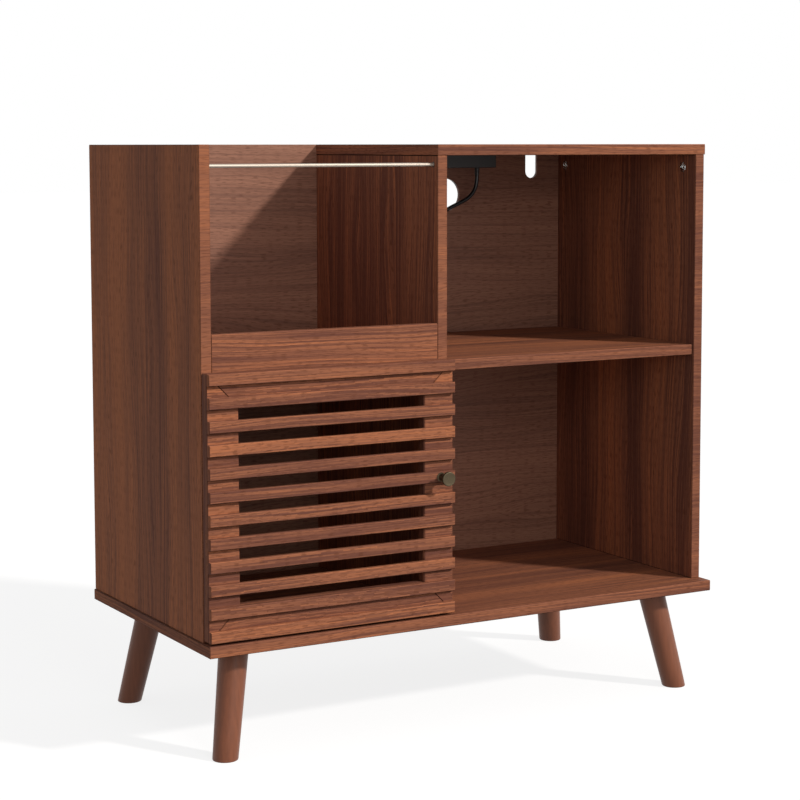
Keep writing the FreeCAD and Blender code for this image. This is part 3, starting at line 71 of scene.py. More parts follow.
# What these add to the print's value, which runs through its colours at the stops. A front edge
# band is brought part of the way to one value, so that it shows the figure only faintly.
TONE_STEP, TONE_START = 0.01, -0.045
# Darkening of a board's front faces for each step of its tens digit; on the right side panel and
# the top board it is painted shade.
FRONT_SHADE_DEPTH = -0.001
COLOUR_STOPS = (0.39, 0.50, 0.61)
BAND_VALUE, BAND_EVENNESS = 0.48, 0.5

# Least share of a normal along an axis, on the faces that look along it, and the largest share
# along any axis on a board's broken edges.
FACING = 0.6
BROKEN = 0.85

# Angles in radians above which an edge is bevelled, and below which its shading is smooth.
SHARP_EDGE = 0.6
SMOOTH_EDGE = math.radians(35)

# Rod, knob, the hinges' middles and the two rows of cams. A profile holds (radius, distance)
# steps, out from its start.
ROD_START = (9.0, 12.0, 768.0)
ROD_RADIUS, ROD_LENGTH, ROD_ROUND = 2.5, 345.0, 0.4
KNOB_SEAT = (339.0, -24.0, 350.45)
KNOB_PROFILE = [
    (6.0, 0.0), (6.3, 0.3), (6.3, 0.8), (6.0, 1.2), (5.2, 1.9), (4.8, 2.9), (4.8, 13.5),
    (5.1, 15.2), (5.8, 16.5), (6.8, 17.3), (7.6, 17.55), (8.6, 17.6), (9.3, 17.9),
    (9.65, 18.4), (9.8, 19.1), (9.8, 20.6), (9.65, 21.3), (9.25, 21.8), (8.6, 22.0),
    (8.2, 21.9), (4.0, 21.7), (0.3, 21.65)]
HINGE_HEIGHTS = (233.5, 437.5)
CAM_ROWS = (31.0, 333.0)

# The lead's course: out of the strip and down to the shelf, round its coil, and to the plug.
RELIEF_START = (605.6, 315.0, 770.5)
PLUG_START = (452.0, 336.0, 515.3)
LEAD_DROP = [
    (605.6, 315.0, 748.5), (605.6, 315.0, 736.0), (600.0, 315.0, 722.3),
    (589.0, 315.0, 712.1), (573.0, 315.0, 705.3), (553.5, 314.8, 697.4),
    (533.8, 314.6, 685.2), (516.4, 314.4, 665.9), (504.1, 314.6, 640.7),
    (496.8, 315.2, 614.0), (492.4, 316.0, 592.0), (489.5, 316.4, 570.0),
    (484.0, 316.0, 548.0), (476.5, 311.5, 527.5), (468.0, 300.0, 513.5),
    (459.0, 282.0, 509.0), (459.0, 262.0, 509.0)]
LEAD_TAIL = [
    (377.0, 262.0, 515.0), (377.0, 280.0, 515.0), (381.0, 299.0, 511.5),
    (393.0, 315.5, 509.3), (411.0, 328.0, 511.0), (432.0, 336.0, 515.3), PLUG_START]
COIL_CENTRE = (418.0, 238.0)
COIL_RADII = (41.0, 35.0, 29.0)
COIL_LAYERS = (509.0, 515.0)
COIL_TURNS = 5.5
COIL_CROSSING = 0.25  # share of a turn in which the lead crosses to the next one

# Floor and lamps, in metres of the scene: name, kind, colour and place of the crisp key on the
# right and of the near soft box in front.
FLOOR_SIZE = 60.0
PAPER = "#8c8c8c"
LAMPS = (("key_lamp", "SUN", "#fffaf4", (1.545, -2.058, 1.97)),
         ("front_lamp", "AREA", "#ffffff", (-0.4, -1.9, 0.95)))
LAMP_AIM = Vector((0.0, 0.0, 0.425))
KEY_ANGLE = math.radians(4)
SOFT_BOX_SIZE = 0.8

# Camera: place in the working frame, turn in degrees, and shift in widths of its frame.
CAMERA_PLACE = (-1047.2, -2341.3, 794.0)
CAMERA_TURN = (84.89, 0.058, -30.018)
CAMERA_SHIFT = (-0.01276, -0.09126)
FILM_WIDTH = 36.0
FAR_CLIP = 100.0


def mm(x, y, z):
    """Point of the working frame, in millimetres, as a point of the scene, in metres."""
    return Vector(((x - MIDDLE[0]) / 1000, (y - MIDDLE[1]) / 1000, z / 1000))


def linear(code, level=1.0):
    """Linear RGBA of an sRGB hex colour, brought to a level."""
    channels = [int(code[i:i + 2], 16) / 255 for i in (1, 3, 5)]
    straight = [c / 12.92 if c <= 0.04045 else ((c + 0.055) / 1.055) ** 2.4 for c in channels]
    return [min(c * level, 1.0) for c in straight] + [1.0]


# ------------------------------------------------------------------ settings

class CabinetWood(bpy.types.PropertyGroup):
    """Walnut laminate, back boards and leg lacquer."""
    light: bpy.props.StringProperty(
        name="Light grain", description="Colour of the reddish light grain", default="#b06e4c")
    middle: bpy.props.StringProperty(
        name="Middle grain", description="Colour of most of the wood", default="#945f47")
    dark: bpy.props.StringProperty(
        name="Dark grain", description="Colour of the mauve dark grain", default="#6e463a")
    pore: bpy.props.StringProperty(
        name="Pores", description="Colour of the fine dark pores", default="#5a3425")
    back_light: bpy.props.StringProperty(
        name="Back, light grain", description="Light grain of the back boards", default="#9d6f5a")
    back_middle: bpy.props.StringProperty(
        name="Back, middle grain", description="Most of the back boards", default="#8f6451")
    back_dark: bpy.props.StringProperty(
        name="Back, dark grain", description="Dark grain of the back boards", default="#7b5546")
    line_spacing: bpy.props.FloatProperty(
        name="Line spacing", description="Distance between figure lines", default=0.0032,
        unit="LENGTH")
    band_width: bpy.props.FloatProperty(
        name="Band width", description="Width of the slow reddish and mauve bands", default=0.08,
        unit="LENGTH")
    pore_width: bpy.props.FloatProperty(
        name="Pore width", description="Width of the pores, drawn coarse enough to show",
        default=0.001, unit="LENGTH")
    lacquer: bpy.props.StringProperty(
        name="Leg lacquer", description="Colour of the lacquered legs", default="#7d4931")


class CabinetLegs(bpy.types.PropertyGroup):
    """Turned legs."""
    height: bpy.props.FloatProperty(
        name="Height", description="Floor to the bottom board", default=0.145, unit="LENGTH")
    top_radius: bpy.props.FloatProperty(
        name="Top radius", description="Radius under the board", default=0.020, unit="LENGTH")
    foot_radius: bpy.props.FloatProperty(
        name="Foot radius", description="Radius at the floor", default=0.017, unit="LENGTH")
    splay: bpy.props.FloatProperty(
        name="Splay", description="How far a foot stands outside its top, each way", default=0.026,
        unit="LENGTH")
    foot_round: bpy.props.FloatProperty(
        name="Foot edge", description="Rounding of the foot's edge", default=0.0015, unit="LENGTH")


class CabinetMetal(bpy.types.PropertyGroup):
    """Rod, knob and fittings."""
    champagne: bpy.props.StringProperty(
        name="Rod", description="Colour of the satin champagne rod", default="#a99e92")
    bronze: bpy.props.StringProperty(
        name="Knob", description="Colour of the dark olive bronze knob", default="#544a3a")
    zinc: bpy.props.StringProperty(
        name="Zinc", description="Colour of the zinc-plated fittings", default="#e2e2e0")
    nickel: bpy.props.StringProperty(
        name="Nickel", description="Colour of the nickel-plated hinges", default="#cbc7be")


class CabinetLead(bpy.types.PropertyGroup):
    """Mains lead of the power strip."""
    diameter: bpy.props.FloatProperty(
        name="Diameter", description="Outer diameter of the lead", default=0.006, unit="LENGTH")
    length: bpy.props.FloatProperty(
        name="Length", description="Length from the strip to the plug", default=1.7, unit="LENGTH")
    turn_points: bpy.props.IntProperty(
        name="Points per turn", description="Control points in one turn of the coil", default=16)


class CabinetStudio(bpy.types.PropertyGroup):
    """Camera, lamps and floor."""
    lens: bpy.props.FloatProperty(
        name="Lens", description="Focal length in millimetres on a 36 mm frame", default=91.54)
    key: bpy.props.FloatProperty(
        name="Key", description="Strength of the key lamp in watts per square metre", default=2.65)
    fill: bpy.props.FloatProperty(
        name="Fill", description="Power of the soft front lamp in watts", default=6.5)
    sky: bpy.props.FloatProperty(
        name="Sky", description="Strength of the even light from all round", default=0.38)
    floor_glow: bpy.props.FloatProperty(
        name="Floor glow", description="Light that the floor adds towards the camera",
        default=0.82)


# ------------------------------------------------------------------ materials

def add_node(tree, kind, settings=None, links=None, stops=()):
    """Node of a kind, with its properties and sockets set, its inputs linked, its stops placed."""
    new = tree.nodes.new(kind)
    for key, value in (settings or {}).items():
        if isinstance(key, str) and hasattr(new, key):
            setattr(new, key, value)
        else:
            new.inputs[key].default_value = value
    for socket, source in (links or {}).items():
        tree.links.new(source, new.inputs[socket])
    for index, (position, colour) in enumerate(stops):
        if index >= len(new.color_ramp.elements):
            new.color_ramp.elements.new(position)
        new.color_ramp.elements[index].position = position
        new.color_ramp.elements[index].color = colour
    return new


def new_material(name):
    """Empty node material with its output node."""
    material = bpy.data.materials.new(name)
    material.use_nodes = True
    tree = material.node_tree
    tree.nodes.clear()
    return material, tree, add_node(tree, "ShaderNodeOutputMaterial")


def dress(material, *names):
    """Give CAD nodes a material."""
    for name in names:
        slots = NODES[name].data.materials
        slots.clear()
        slots.append(material)


def number_pieces(first, tones):
    """Give CAD nodes their pass indices, with places on the sheet from the first one on."""
    for place, (name, tone) in enumerate(tones.items(), first):
        NODES[name].pass_index = PLACE_STEP * place + tone


def background_seen(tree):
    """One for rays that see the background: from the camera, off gloss and through glass."""
    path = add_node(tree, "ShaderNodeLightPath")
    seen = add_node(tree, "ShaderNodeMath", {"operation": "MAXIMUM"},
                    {0: path.outputs["Is Camera Ray"], 1: path.outputs["Is Glossy Ray"]})
    return add_node(tree, "ShaderNodeMath", {"operation": "MAXIMUM"},
                    {0: seen.outputs[0], 1: path.outputs["Is Transmission Ray"]}).outputs[0]


def grain_sheet(tree, coords, grain_axis, edges):
    """Place on the printed sheet, in metres along and across the grain, the normal and index.

    edges gives the grain's axis on the faces that look along an axis, where it is another one.
    """
    piece = add_node(tree, "ShaderNodeObjectInfo")
    # Each board is cut from another place of the sheet.
    shift = add_node(tree, "ShaderNodeVectorMath", {"operation": "SCALE", 0: (1.37, 0.83, 2.11)},
                     {"Scale": piece.outputs["Object Index"]})
    place = add_node(tree, "ShaderNodeVectorMath", {"operation": "ADD"},
                     {0: coords.outputs["Object"], 1: shift.outputs[0]})
    parts = add_node(tree, "ShaderNodeSeparateXYZ", links={"Vector": place.outputs[0]})
    normal = add_node(tree, "ShaderNodeSeparateXYZ", links={"Vector": coords.outputs["Normal"]})

    sheet = None
    for face_axis, axis in [(None, grain_axis)] + list(edges.items()):
        first, second = [other for other in "XYZ" if other != axis]
        across = add_node(tree, "ShaderNodeMath", {"operation": "ADD"},
                          {0: parts.outputs[first], 1: parts.outputs[second]})
        here = add_node(tree, "ShaderNodeCombineXYZ",
                        links={"X": parts.outputs[axis], "Y": across.outputs[0]})
        if sheet is None:
            sheet = here.outputs[0]
            continue
        size = add_node(tree, "ShaderNodeMath", {"operation": "ABSOLUTE"},
                        {0: normal.outputs[face_axis]})
        facing = add_node(tree, "ShaderNodeMath", {"operation": "GREATER_THAN", 1: FACING},
                          {0: size.outputs[0]})
        sheet = add_node(tree, "ShaderNodeMix", {"data_type": "VECTOR"}, {
            "Factor": facing.outputs[0], "A": sheet, "B": here.outputs[0]}).outputs["Result"]
    return sheet, normal, piece.outputs["Object Index"]


def edge_light_and_shade(tree, normal):
    """Factor for a board's broken edges: a painted highlight on those that look up, and painted
    shade on upright and downward ones and in the mitres' grooves.
    """
    sizes = [add_node(tree, "ShaderNodeMath", {"operation": "ABSOLUTE"}, {0: normal.outputs[axis]})
             for axis in "XYZ"]
    larger = add_node(tree, "ShaderNodeMath", {"operation": "MAXIMUM"},
                      {0: sizes[0].outputs[0], 1: sizes[1].outputs[0]})
    largest = add_node(tree, "ShaderNodeMath", {"operation": "MAXIMUM"},
                       {0: larger.outputs[0], 1: sizes[2].outputs[0]})
    broken = add_node(tree, "ShaderNodeMath", {"operation": "LESS_THAN", 1: BROKEN},
                      {0: largest.outputs[0]})
    # Painted light by the edge's slope: an edge that looks up gets a painted highlight, an upright
    # one painted shade, and one that looks down deeper painted shade.
    painted_arris_light = add_node(tree, "ShaderNodeMath", {"operation": "MULTIPLY_ADD", 1: 0.6, 2: 0.74},
                      {0: normal.outputs["Z"]})
    # A mitre's bevels lean both sideways and up or down, and get painted shade for the dark groove
    # between the two parts.
    both = add_node(tree, "ShaderNodeMath", {"operation": "MULTIPLY"},
                    {0: sizes[0].outputs[0], 1: sizes[2].outputs[0]})
    painted_mitre_shade = add_node(tree, "ShaderNodeMath", {"operation": "MULTIPLY_ADD", 1: -1.6, 2: 1.0},
                     {0: both.outputs[0]})
    tone = add_node(tree, "ShaderNodeMath", {"operation": "MULTIPLY"},
                    {0: painted_arris_light.outputs[0], 1: painted_mitre_shade.outputs[0]})
    return add_node(tree, "ShaderNodeMix", {"A": 1.0},
                    {"Factor": broken.outputs[0], "B": tone.outputs[0]}).outputs["Result"]


def board_tone(tree, index, front):
    """What a board's index adds to its figure: its own tone, and less on its front faces, painted
    shade on the boards where the light falls off.
    """
    own = add_node(tree, "ShaderNodeMath", {"operation": "MODULO", 1: FRONT_SHADE_STEP}, {0: index})
    tone = add_node(tree, "ShaderNodeMath", {
        "operation": "MULTIPLY_ADD", 1: TONE_STEP, 2: TONE_START}, {0: own.outputs[0]})
    last = add_node(tree, "ShaderNodeMath", {"operation": "MODULO", 1: PLACE_STEP}, {0: index})
    # The tens digit darkens the front faces: painted shade on the right side panel and the top
    # board.
    band = add_node(tree, "ShaderNodeMath", {"operation": "SUBTRACT"},
                    {0: last.outputs[0], 1: own.outputs[0]})
    front_shade = add_node(tree, "ShaderNodeMath", {"operation": "MULTIPLY"},
                      {0: band.outputs[0], 1: front.outputs[0]})
    return add_node(tree, "ShaderNodeMath", {"operation": "MULTIPLY_ADD", 1: FRONT_SHADE_DEPTH},
                    {0: front_shade.outputs[0], 2: tone.outputs[0]})


def wavy_grain(tree, sheet, wave):
    """Place on the sheet with its lines bent aside by up to a wave, in metres, and very slowly."""
    far = add_node(tree, "ShaderNodeMapping", {"Scale": (1 / 0.38, 1 / 0.06, 1)},
                   {"Vector": sheet})
    slow = add_node(tree, "ShaderNodeTexNoise", {
        "noise_dimensions": "2D", "Scale": 1.0, "Detail": 1.5, "Roughness": 0.4},
        {"Vector": far.outputs[0]})
    bend = add_node(tree, "ShaderNodeCombineXYZ", links={"Y": slow.outputs["Fac"]})
    return add_node(tree, "ShaderNodeVectorMath", {"operation": "MULTIPLY_ADD", 1: (0, wave, 0)},
                    {0: bend.outputs[0], 2: sheet})


def print_pattern(tree, grain, length, width, detail):
    """Noise drawn out along the grain, its marks of a length and a width in metres."""
    stretch = add_node(tree, "ShaderNodeMapping", {"Scale": (1 / length, 1 / width, 1)},
                       {"Vector": grain.outputs[0]})
    return add_node(tree, "ShaderNodeTexNoise", {
        "noise_dimensions": "2D", "Scale": 1.0, "Detail": detail, "Roughness": 0.55},
        {"Vector": stretch.outputs[0]}).outputs["Fac"]


def printed_wood(name, tones, grain_axis, edges=None, wave=0.04, roughness=0.5, sheen=0.02):
    """Wood print under a satin seal: slow bands, fine lines, short streaks and faint pores.

    tones are the dark, middle and light colours and the pores' one, edges is as in grain_sheet,
    and sheen is the strength of the seal's reflection, 0.5 being that of bare plastic.
    """
    wood = bpy.context.scene.cabinet_wood
    material, tree, output = new_material(name)
    coords = add_node(tree, "ShaderNodeTexCoord")
    sheet, normal, index = grain_sheet(tree, coords, grain_axis, edges or {})
    grain = wavy_grain(tree, sheet, wave)
    front = add_node(tree, "ShaderNodeMath", {"operation": "LESS_THAN", 1: -FACING},
                     {0: normal.outputs["Y"]})
    value = board_tone(tree, index, front)
    # Length, width, detail and share in the figure of the bands, patches, lines and streaks.
    for length, width, detail, share in (
            (1.6, wood.band_width, 1.0, 0.28), (0.5, 0.02, 1.0, 0.14),
            (1.2, wood.line_spacing, 2.0, 0.31), (0.15, 0.0015, 1.0, 0.27)):
        value = add_node(tree, "ShaderNodeMath", {"operation": "MULTIPLY_ADD", 1: share}, {
            0: print_pattern(tree, grain, length, width, detail), 2: value.outputs[0]})
    if edges and "Y" in edges:
        faint = add_node(tree, "ShaderNodeMath", {"operation": "MULTIPLY", 1: BAND_EVENNESS},
                         {0: front.outputs[0]})
        value = add_node(tree, "ShaderNodeMix", {"B": BAND_VALUE},
                         {"Factor": faint.outputs[0], "A": value.outputs[0]})
    colour = add_node(tree, "ShaderNodeValToRGB", links={"Fac": value.outputs[0]}, stops=[
        (stop, linear(tone)) for stop, tone in zip(COLOUR_STOPS, tones)])
    pore = add_node(tree, "ShaderNodeMapRange", {
        "From Min": 0.28, "From Max": 0.42, "To Min": 0.45, "To Max": 0.0},
        {"Value": print_pattern(tree, grain, 0.012, wood.pore_width, 0.0)})
    pored = add_node(tree, "ShaderNodeMix", {"data_type": "RGBA", "B": linear(tones[3])},
                     {"Factor": pore.outputs[0], "A": colour.outputs[0]})
    # The broken edges' painted highlight and painted shade scale the colour.
    edges_shaded = add_node(tree, "ShaderNodeVectorMath", {"operation": "SCALE"},
                     {0: pored.outputs["Result"], "Scale": edge_light_and_shade(tree, normal)})
    bump = add_node(tree, "ShaderNodeBump", {"Strength": 0.1, "Distance": 0.0002, "invert": True},
                    {"Height": pore.outputs[0]})
    shader = add_node(
        tree, "ShaderNodeBsdfPrincipled",
        {"Roughness": roughness, "IOR": 1.48, "Specular IOR Level": sheen},
        {"Base Color": edges_shaded.outputs[0], "Normal": bump.outputs[0]})
    tree.links.new(shader.outputs[0], output.inputs[0])
    return material


def lacquered_wood(code):
    """Turned beech under brown lacquer: smooth, the grain just showing through."""
    material, tree, output = new_material("brown leg lacquer")
    coords = add_node(tree, "ShaderNodeTexCoord")
    # The beech's lines are about 4 mm apart and run up the leg.
    stretch = add_node(tree, "ShaderNodeMapping", {"Scale": (250, 250, 9)},
                       {"Vector": coords.outputs["Object"]})
    grain = add_node(tree, "ShaderNodeTexNoise", {"Scale": 1.0, "Detail": 2.0},
                     {"Vector": stretch.outputs[0]})
    colour = add_node(tree, "ShaderNodeValToRGB", links={"Fac": grain.outputs["Fac"]}, stops=[
        (0.32, linear(code, 0.88)), (0.68, linear(code, 1.08))])
    # A faint orange peel, 1.5 mm from crest to crest.
    peel = add_node(tree, "ShaderNodeTexNoise", {"Scale": 650.0, "Detail": 1.0},
                    {"Vector": coords.outputs["Object"]})
    bump = add_node(tree, "ShaderNodeBump", {"Strength": 0.06, "Distance": 0.0002},
                    {"Height": peel.outputs["Fac"]})
    shader = add_node(
        tree, "ShaderNodeBsdfPrincipled",
        {"Roughness": 0.42, "IOR": 1.5, "Specular IOR Level": 0.35},
        {"Base Color": colour.outputs[0], "Normal": bump.outputs[0]})
    tree.links.new(shader.outputs[0], output.inputs[0])
    return material


def plated_metal(name, code, roughness, scratch=0.0008):
    """Plated or drawn metal: fine scratches vary its roughness and its tone."""
    material, tree, output = new_material(name)
    coords = add_node(tree, "ShaderNodeTexCoord")
    grain = add_node(tree, "ShaderNodeTexNoise", {"Scale": 1 / scratch, "Detail": 3.0},
                     {"Vector": coords.outputs["Object"]})
    colour = add_node(tree, "ShaderNodeValToRGB", links={"Fac": grain.outputs["Fac"]}, stops=[
        (0.35, linear(code, 0.85)), (0.6, linear(code))])
    rough = add_node(tree, "ShaderNodeMapRange", {
        "To Min": roughness * 0.85, "To Max": roughness * 1.2}, {"Value": grain.outputs["Fac"]})
    shader = add_node(tree, "ShaderNodeBsdfPrincipled", {"Metallic": 1.0},
                      {"Base Color": colour.outputs[0], "Roughness": rough.outputs[0]})
    tree.links.new(shader.outputs[0], output.inputs[0])
    return material


def moulded_plastic(name, code, roughness, grain=0.0006):
    """Moulded plastic or rubber with a fine spark-eroded texture."""
    material, tree, output = new_material(name)
    coords = add_node(tree, "ShaderNodeTexCoord")
    texture = add_node(tree, "ShaderNodeTexNoise", {"Scale": 1 / grain, "Detail": 2.0},
                       {"Vector": coords.outputs["Object"]})
    colour = add_node(tree, "ShaderNodeValToRGB", links={"Fac": texture.outputs["Fac"]}, stops=[
        (0.35, linear(code)), (0.65, linear(code, 1.25))])
    bump = add_node(tree, "ShaderNodeBump", {"Strength": 0.2, "Distance": 0.0001},
                    {"Height": texture.outputs["Fac"]})
    shader = add_node(tree, "ShaderNodeBsdfPrincipled", {"Roughness": roughness, "IOR": 1.5},
                      {"Base Color": colour.outputs[0], "Normal": bump.outputs[0]})
    tree.links.new(shader.outputs[0], output.inputs[0])
    return material


# ------------------------------------------------------------------ modelling helpers

def deselect():
    """Leave nothing selected."""
    bpy.ops.object.select_all(action="DESELECT")


def make_active(piece):
    """Select a piece alone and make it the active one."""
    deselect()
    piece.select_set(True)
    bpy.context.view_layer.objects.active = piece


def pick(elements, kind, test):
    """In edit mode, select the elements of a kind, FACE or EDGE, that pass a test.

    elements is a function, because leaving edit mode renews a mesh's elements.
    """
    bpy.ops.mesh.select_mode(type=kind)
    bpy.ops.mesh.select_all(action="DESELECT")
    bpy.ops.object.mode_set(mode="OBJECT")
    for element in elements():
        element.select = test(element)
    bpy.ops.object.mode_set(mode="EDIT")


def turned(rings, rotation, sides):
    """Disc at the first (radius, place) ring, extruded through the others, all in metres."""
    deselect()
    radius, place = rings[0]
    bpy.ops.mesh.primitive_circle_add(
        vertices=sides, radius=radius, fill_type="NGON", location=place, rotation=rotation)
    piece = bpy.context.object
    bpy.ops.object.transform_apply(location=True, rotation=True, scale=True)
    bpy.ops.object.mode_set(mode="EDIT")
    bpy.ops.mesh.select_all(action="SELECT")
    for next_radius, next_place in rings[1:]:
        bpy.ops.mesh.extrude_region_move(TRANSFORM_OT_translate={"value": next_place - place})
        ratio = next_radius / radius
        bpy.ops.transform.resize(value=(ratio, ratio, ratio), center_override=next_place)
        radius, place = next_radius, next_place
    bpy.ops.mesh.select_all(action="SELECT")
    bpy.ops.mesh.normals_make_consistent(inside=False)
    bpy.ops.object.mode_set(mode="OBJECT")
    return piece


def lathe(profile, start=MIDDLE, out=UP, sides=96):
    """Turned shape through (radius, distance) steps, in millimetres, out from a start."""
    axis = Vector(out)
    rings = [(radius / 1000, mm(*start) + axis * along / 1000) for radius, along in profile]
    return turned(rings, axis.to_track_quat("Z", "Y").to_euler(), sides)


def box_piece(low, high):
    """Cube primitive between two corners, in millimetres of the working frame."""
    deselect()
    low, high = mm(*low), mm(*high)
    bpy.ops.mesh.primitive_cube_add(size=1, location=(low + high) / 2, scale=high - low)
    piece = bpy.context.object
    bpy.ops.object.transform_apply(location=True, rotation=True, scale=True)
    return piece


def round_edges(piece, width, segments):
    """Bevel a piece's sharp edges with a modifier and apply it."""
    bevel = piece.modifiers.new("edges", "BEVEL")
    bevel.width = width / 1000
    bevel.segments = segments
    bevel.limit_method = "ANGLE"
    bevel.angle_limit = SHARP_EDGE
    bpy.context.view_layer.objects.active = piece
    bpy.ops.object.modifier_apply(modifier=bevel.name)


def join(pieces):
    """Join pieces into the first one."""
    make_active(pieces[0])
    for piece in pieces:
        piece.select_set(True)
    bpy.ops.object.join()
    return pieces[0]


def settle(piece, name, body, material, *nodes):
    """Name a piece, put its place in its mesh, finish it and ride it in place of its CAD nodes."""
    make_active(piece)
    bpy.ops.object.transform_apply(location=True, rotation=True, scale=True)
    bpy.ops.object.shade_smooth_by_angle(angle=SMOOTH_EDGE)
    piece.name = name
    piece.data.name = name
    piece.data.materials.clear()
    piece.data.materials.append(material)
    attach(piece, body)
    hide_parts(*nodes)


def grooves(count, first, pitch, radius, growth, depth, offsets, lip=0.0):
    """Profile steps of grooves at a pitch: each goes down, along its floor and up to the lip."""
    steps = []
    for groove in range(count):
        begin = first + groove * pitch
        outer = radius + groove * growth
        down, floor, up = offsets
        steps += [(outer, begin), (outer - depth, begin + down), (outer - depth, begin + floor),
                  (outer - lip, begin + up)]
    return steps


def moulded_plug(start):
    """Moulded plug: a body tapered to the lead, grip ridges on its sides and a ribbed relief."""
    x, y, z = start
    length = 29.0
    body = box_piece((x + 21.0, y - 13.0, z - 10.0), (x + 21.0 + length, y + 13.0, z + 10.0))
    rear = mm(x + 21.0, y, z)
    bpy.ops.object.mode_set(mode="EDIT")
    pick(lambda: body.data.polygons, "FACE", lambda face: face.normal.x < -0.9)
    bpy.ops.transform.resize(value=(1, 0.55, 0.7), center_override=rear)
    for share in (0.25, 0.45):
        bpy.ops.mesh.select_all(action="SELECT")
        bpy.ops.mesh.bisect(
            plane_co=rear + Vector((length / 1000 * share, 0, 0)), plane_no=RIGHT)
    bpy.ops.object.mode_set(mode="OBJECT")
    round_edges(body, 2.6, 4)
    ridges = []
    for side, step in product((-1, 1), range(4)):
        left, middle = x + 31.0 + step * 4.0, y + side * 12.2
        ridge = box_piece((left, middle - 0.9, z - 5.0), (left + 1.6, middle + 0.9, z + 5.0))
        round_edges(ridge, 0.5, 2)
        ridges.append(ridge)
    profile = [(3.1, 0.0), (3.6, 0.6)]
    profile += grooves(5, 2.0, 3.6, 3.8, 0.35, 0.6, (0.5, 2.0, 2.5))
    profile += [(5.6, 22.0), (5.4, 23.5)]
    return join([body, lathe(profile, start, RIGHT, sides=48)] + ridges)


def hook_tie():
    """Strap of hook tape round the near side of the coil, its end laid over itself."""
    band = box_piece((414.0, 192.7, 504.9), (422.0, 213.3, 519.1))

    def runs_across(edge):
        """Whether an edge runs from one side of the strap to the other."""
        first, last = (band.data.vertices[index].co for index in edge.vertices)
        return abs(first.x - last.x) > 0.004

    bpy.ops.object.mode_set(mode="EDIT")
    pick(lambda: band.data.polygons, "FACE", lambda face: abs(face.normal.x) > 0.9)
    bpy.ops.mesh.delete(type="ONLY_FACE")
    pick(lambda: band.data.edges, "EDGE", runs_across)
    bpy.ops.mesh.bevel(offset=0.003, segments=5, affect="EDGES")
    bpy.ops.object.mode_set(mode="OBJECT")
    wall = band.modifiers.new("wall", "SOLIDIFY")
    wall.thickness = 0.0012
    wall.offset = 1.0
    bpy.ops.object.modifier_apply(modifier=wall.name)
    tail = box_piece((414.2, 196.0, 520.2), (421.8, 210.0, 521.2))
    round_edges(tail, 0.3, 2)
    return join([band, tail])


def cut_out(piece, cutter):
    """Cut a piece out of another and drop it."""
    cut = piece.modifiers.new("recess", "BOOLEAN")
    cut.operation = "DIFFERENCE"
    cut.solver = "EXACT"
    cut.object = cutter
    bpy.context.view_layer.objects.active = piece
    bpy.ops.object.modifier_apply(modifier=cut.name)
    bpy.data.objects.remove(cutter)


def cross_cutter(long, wide, low, high):
    """Upright cross of a half length and a half width at the scene's middle, in one piece."""
    x, y = MIDDLE[:2]
    cross = box_piece((x - wide, y - wide, low), (x + wide, y + wide, high))
    bpy.ops.object.mode_set(mode="EDIT")
    pick(lambda: cross.data.polygons, "FACE", lambda face: abs(face.normal.z) < 0.5)
    bpy.ops.mesh.extrude_faces_move(TRANSFORM_OT_shrink_fatten={"value": (long - wide) / 1000})
    bpy.ops.object.mode_set(mode="OBJECT")
    return cross


def pan_head(radius, height):
    """Domed screw head with a cross recess, looking up at the scene's middle."""
    head = lathe(
        [(radius * 0.97, 0.0), (radius, height * 0.08), (radius, height * 0.3),
         (radius * 0.93, height * 0.66), (radius * 0.74, height * 0.9),
         (radius * 0.45, height), (0.05, height)], sides=40)
    cut_out(head, cross_cutter(radius * 0.52, radius * 0.13, height * 0.4, height * 1.5))
    return head


def socket_head(radius, height):
    """Flush screw head with a hexagon socket, looking up at the scene's middle."""
    head = lathe([(radius - 0.9, 0.0), (radius - 0.15, height - 0.15), (radius - 0.35, height),
                  (0.05, height)], sides=48)
    cut_out(head, lathe([(2.0, height - 1.9), (2.0, height + 1.0)], sides=6))
    return head


def cam_head(radius, depth):
    """Die-cast cam, looking up: a dished disc with a cross recess, and a sunk ring round it."""
    inner = radius * 0.86
    head = lathe(
        [(radius, -depth), (radius, -1.6), (inner, -1.6), (inner, -0.3), (inner * 0.95, 0.0),
         (inner * 0.88, 0.0), (inner * 0.8, -0.35), (inner * 0.4, -0.4), (0.1, -0.4)], sides=64)
    x, y = MIDDLE[:2]
    for reach_x, reach_y in ((4.4, 0.95), (0.95, 4.4)):
        slot = box_piece((x - reach_x, y - reach_y, -2.6), (x + reach_x, y + reach_y, 1.0))
        round_edges(slot, 0.5, 2)
        cut_out(head, slot)
    return head


def seats(out, xs, ys, zs):
    """Seats that look one way, wherever the given columns, rows and heights cross."""
    return [(place, out) for place in product(xs, ys, zs)]


def spread(pattern, places):
    """Copies of a pattern, each with its own mesh, at (place, direction) seats, as one piece."""
    pieces = []
    for place, out in places:
        copy = pattern.copy()
        copy.data = pattern.data.copy()
        bpy.context.scene.collection.objects.link(copy)
        copy.location = mm(*place)
        copy.rotation_euler = Vector(out).to_track_quat("Z", "Y").to_euler()
        pieces.append(copy)
    bpy.data.objects.remove(pattern)
    return join(pieces)


def splayed_leg(legs):
    """Leg at the scene's middle, from its top down to its splayed foot, level ring by ring."""
    taper = legs.top_radius - legs.foot_radius
    edge = legs.foot_round / legs.height
    rings = [(share, legs.top_radius - taper * share)
             for share in (0.0, 0.15, 0.35, 0.55, 0.75, 1 - edge)]
    for turn in (25, 50, 70, 90):
        sine, cosine = math.sin(math.radians(turn)), math.cos(math.radians(turn))
        rings.append((1 - edge * (1 - sine), legs.foot_radius - legs.foot_round * (1 - cosine)))
    top = Vector((0, 0, legs.height))
    axis = Vector((legs.splay, legs.splay, -legs.height))
    return turned([(radius, top + axis * share) for share, radius in rings], (0, 0, 0), 96)


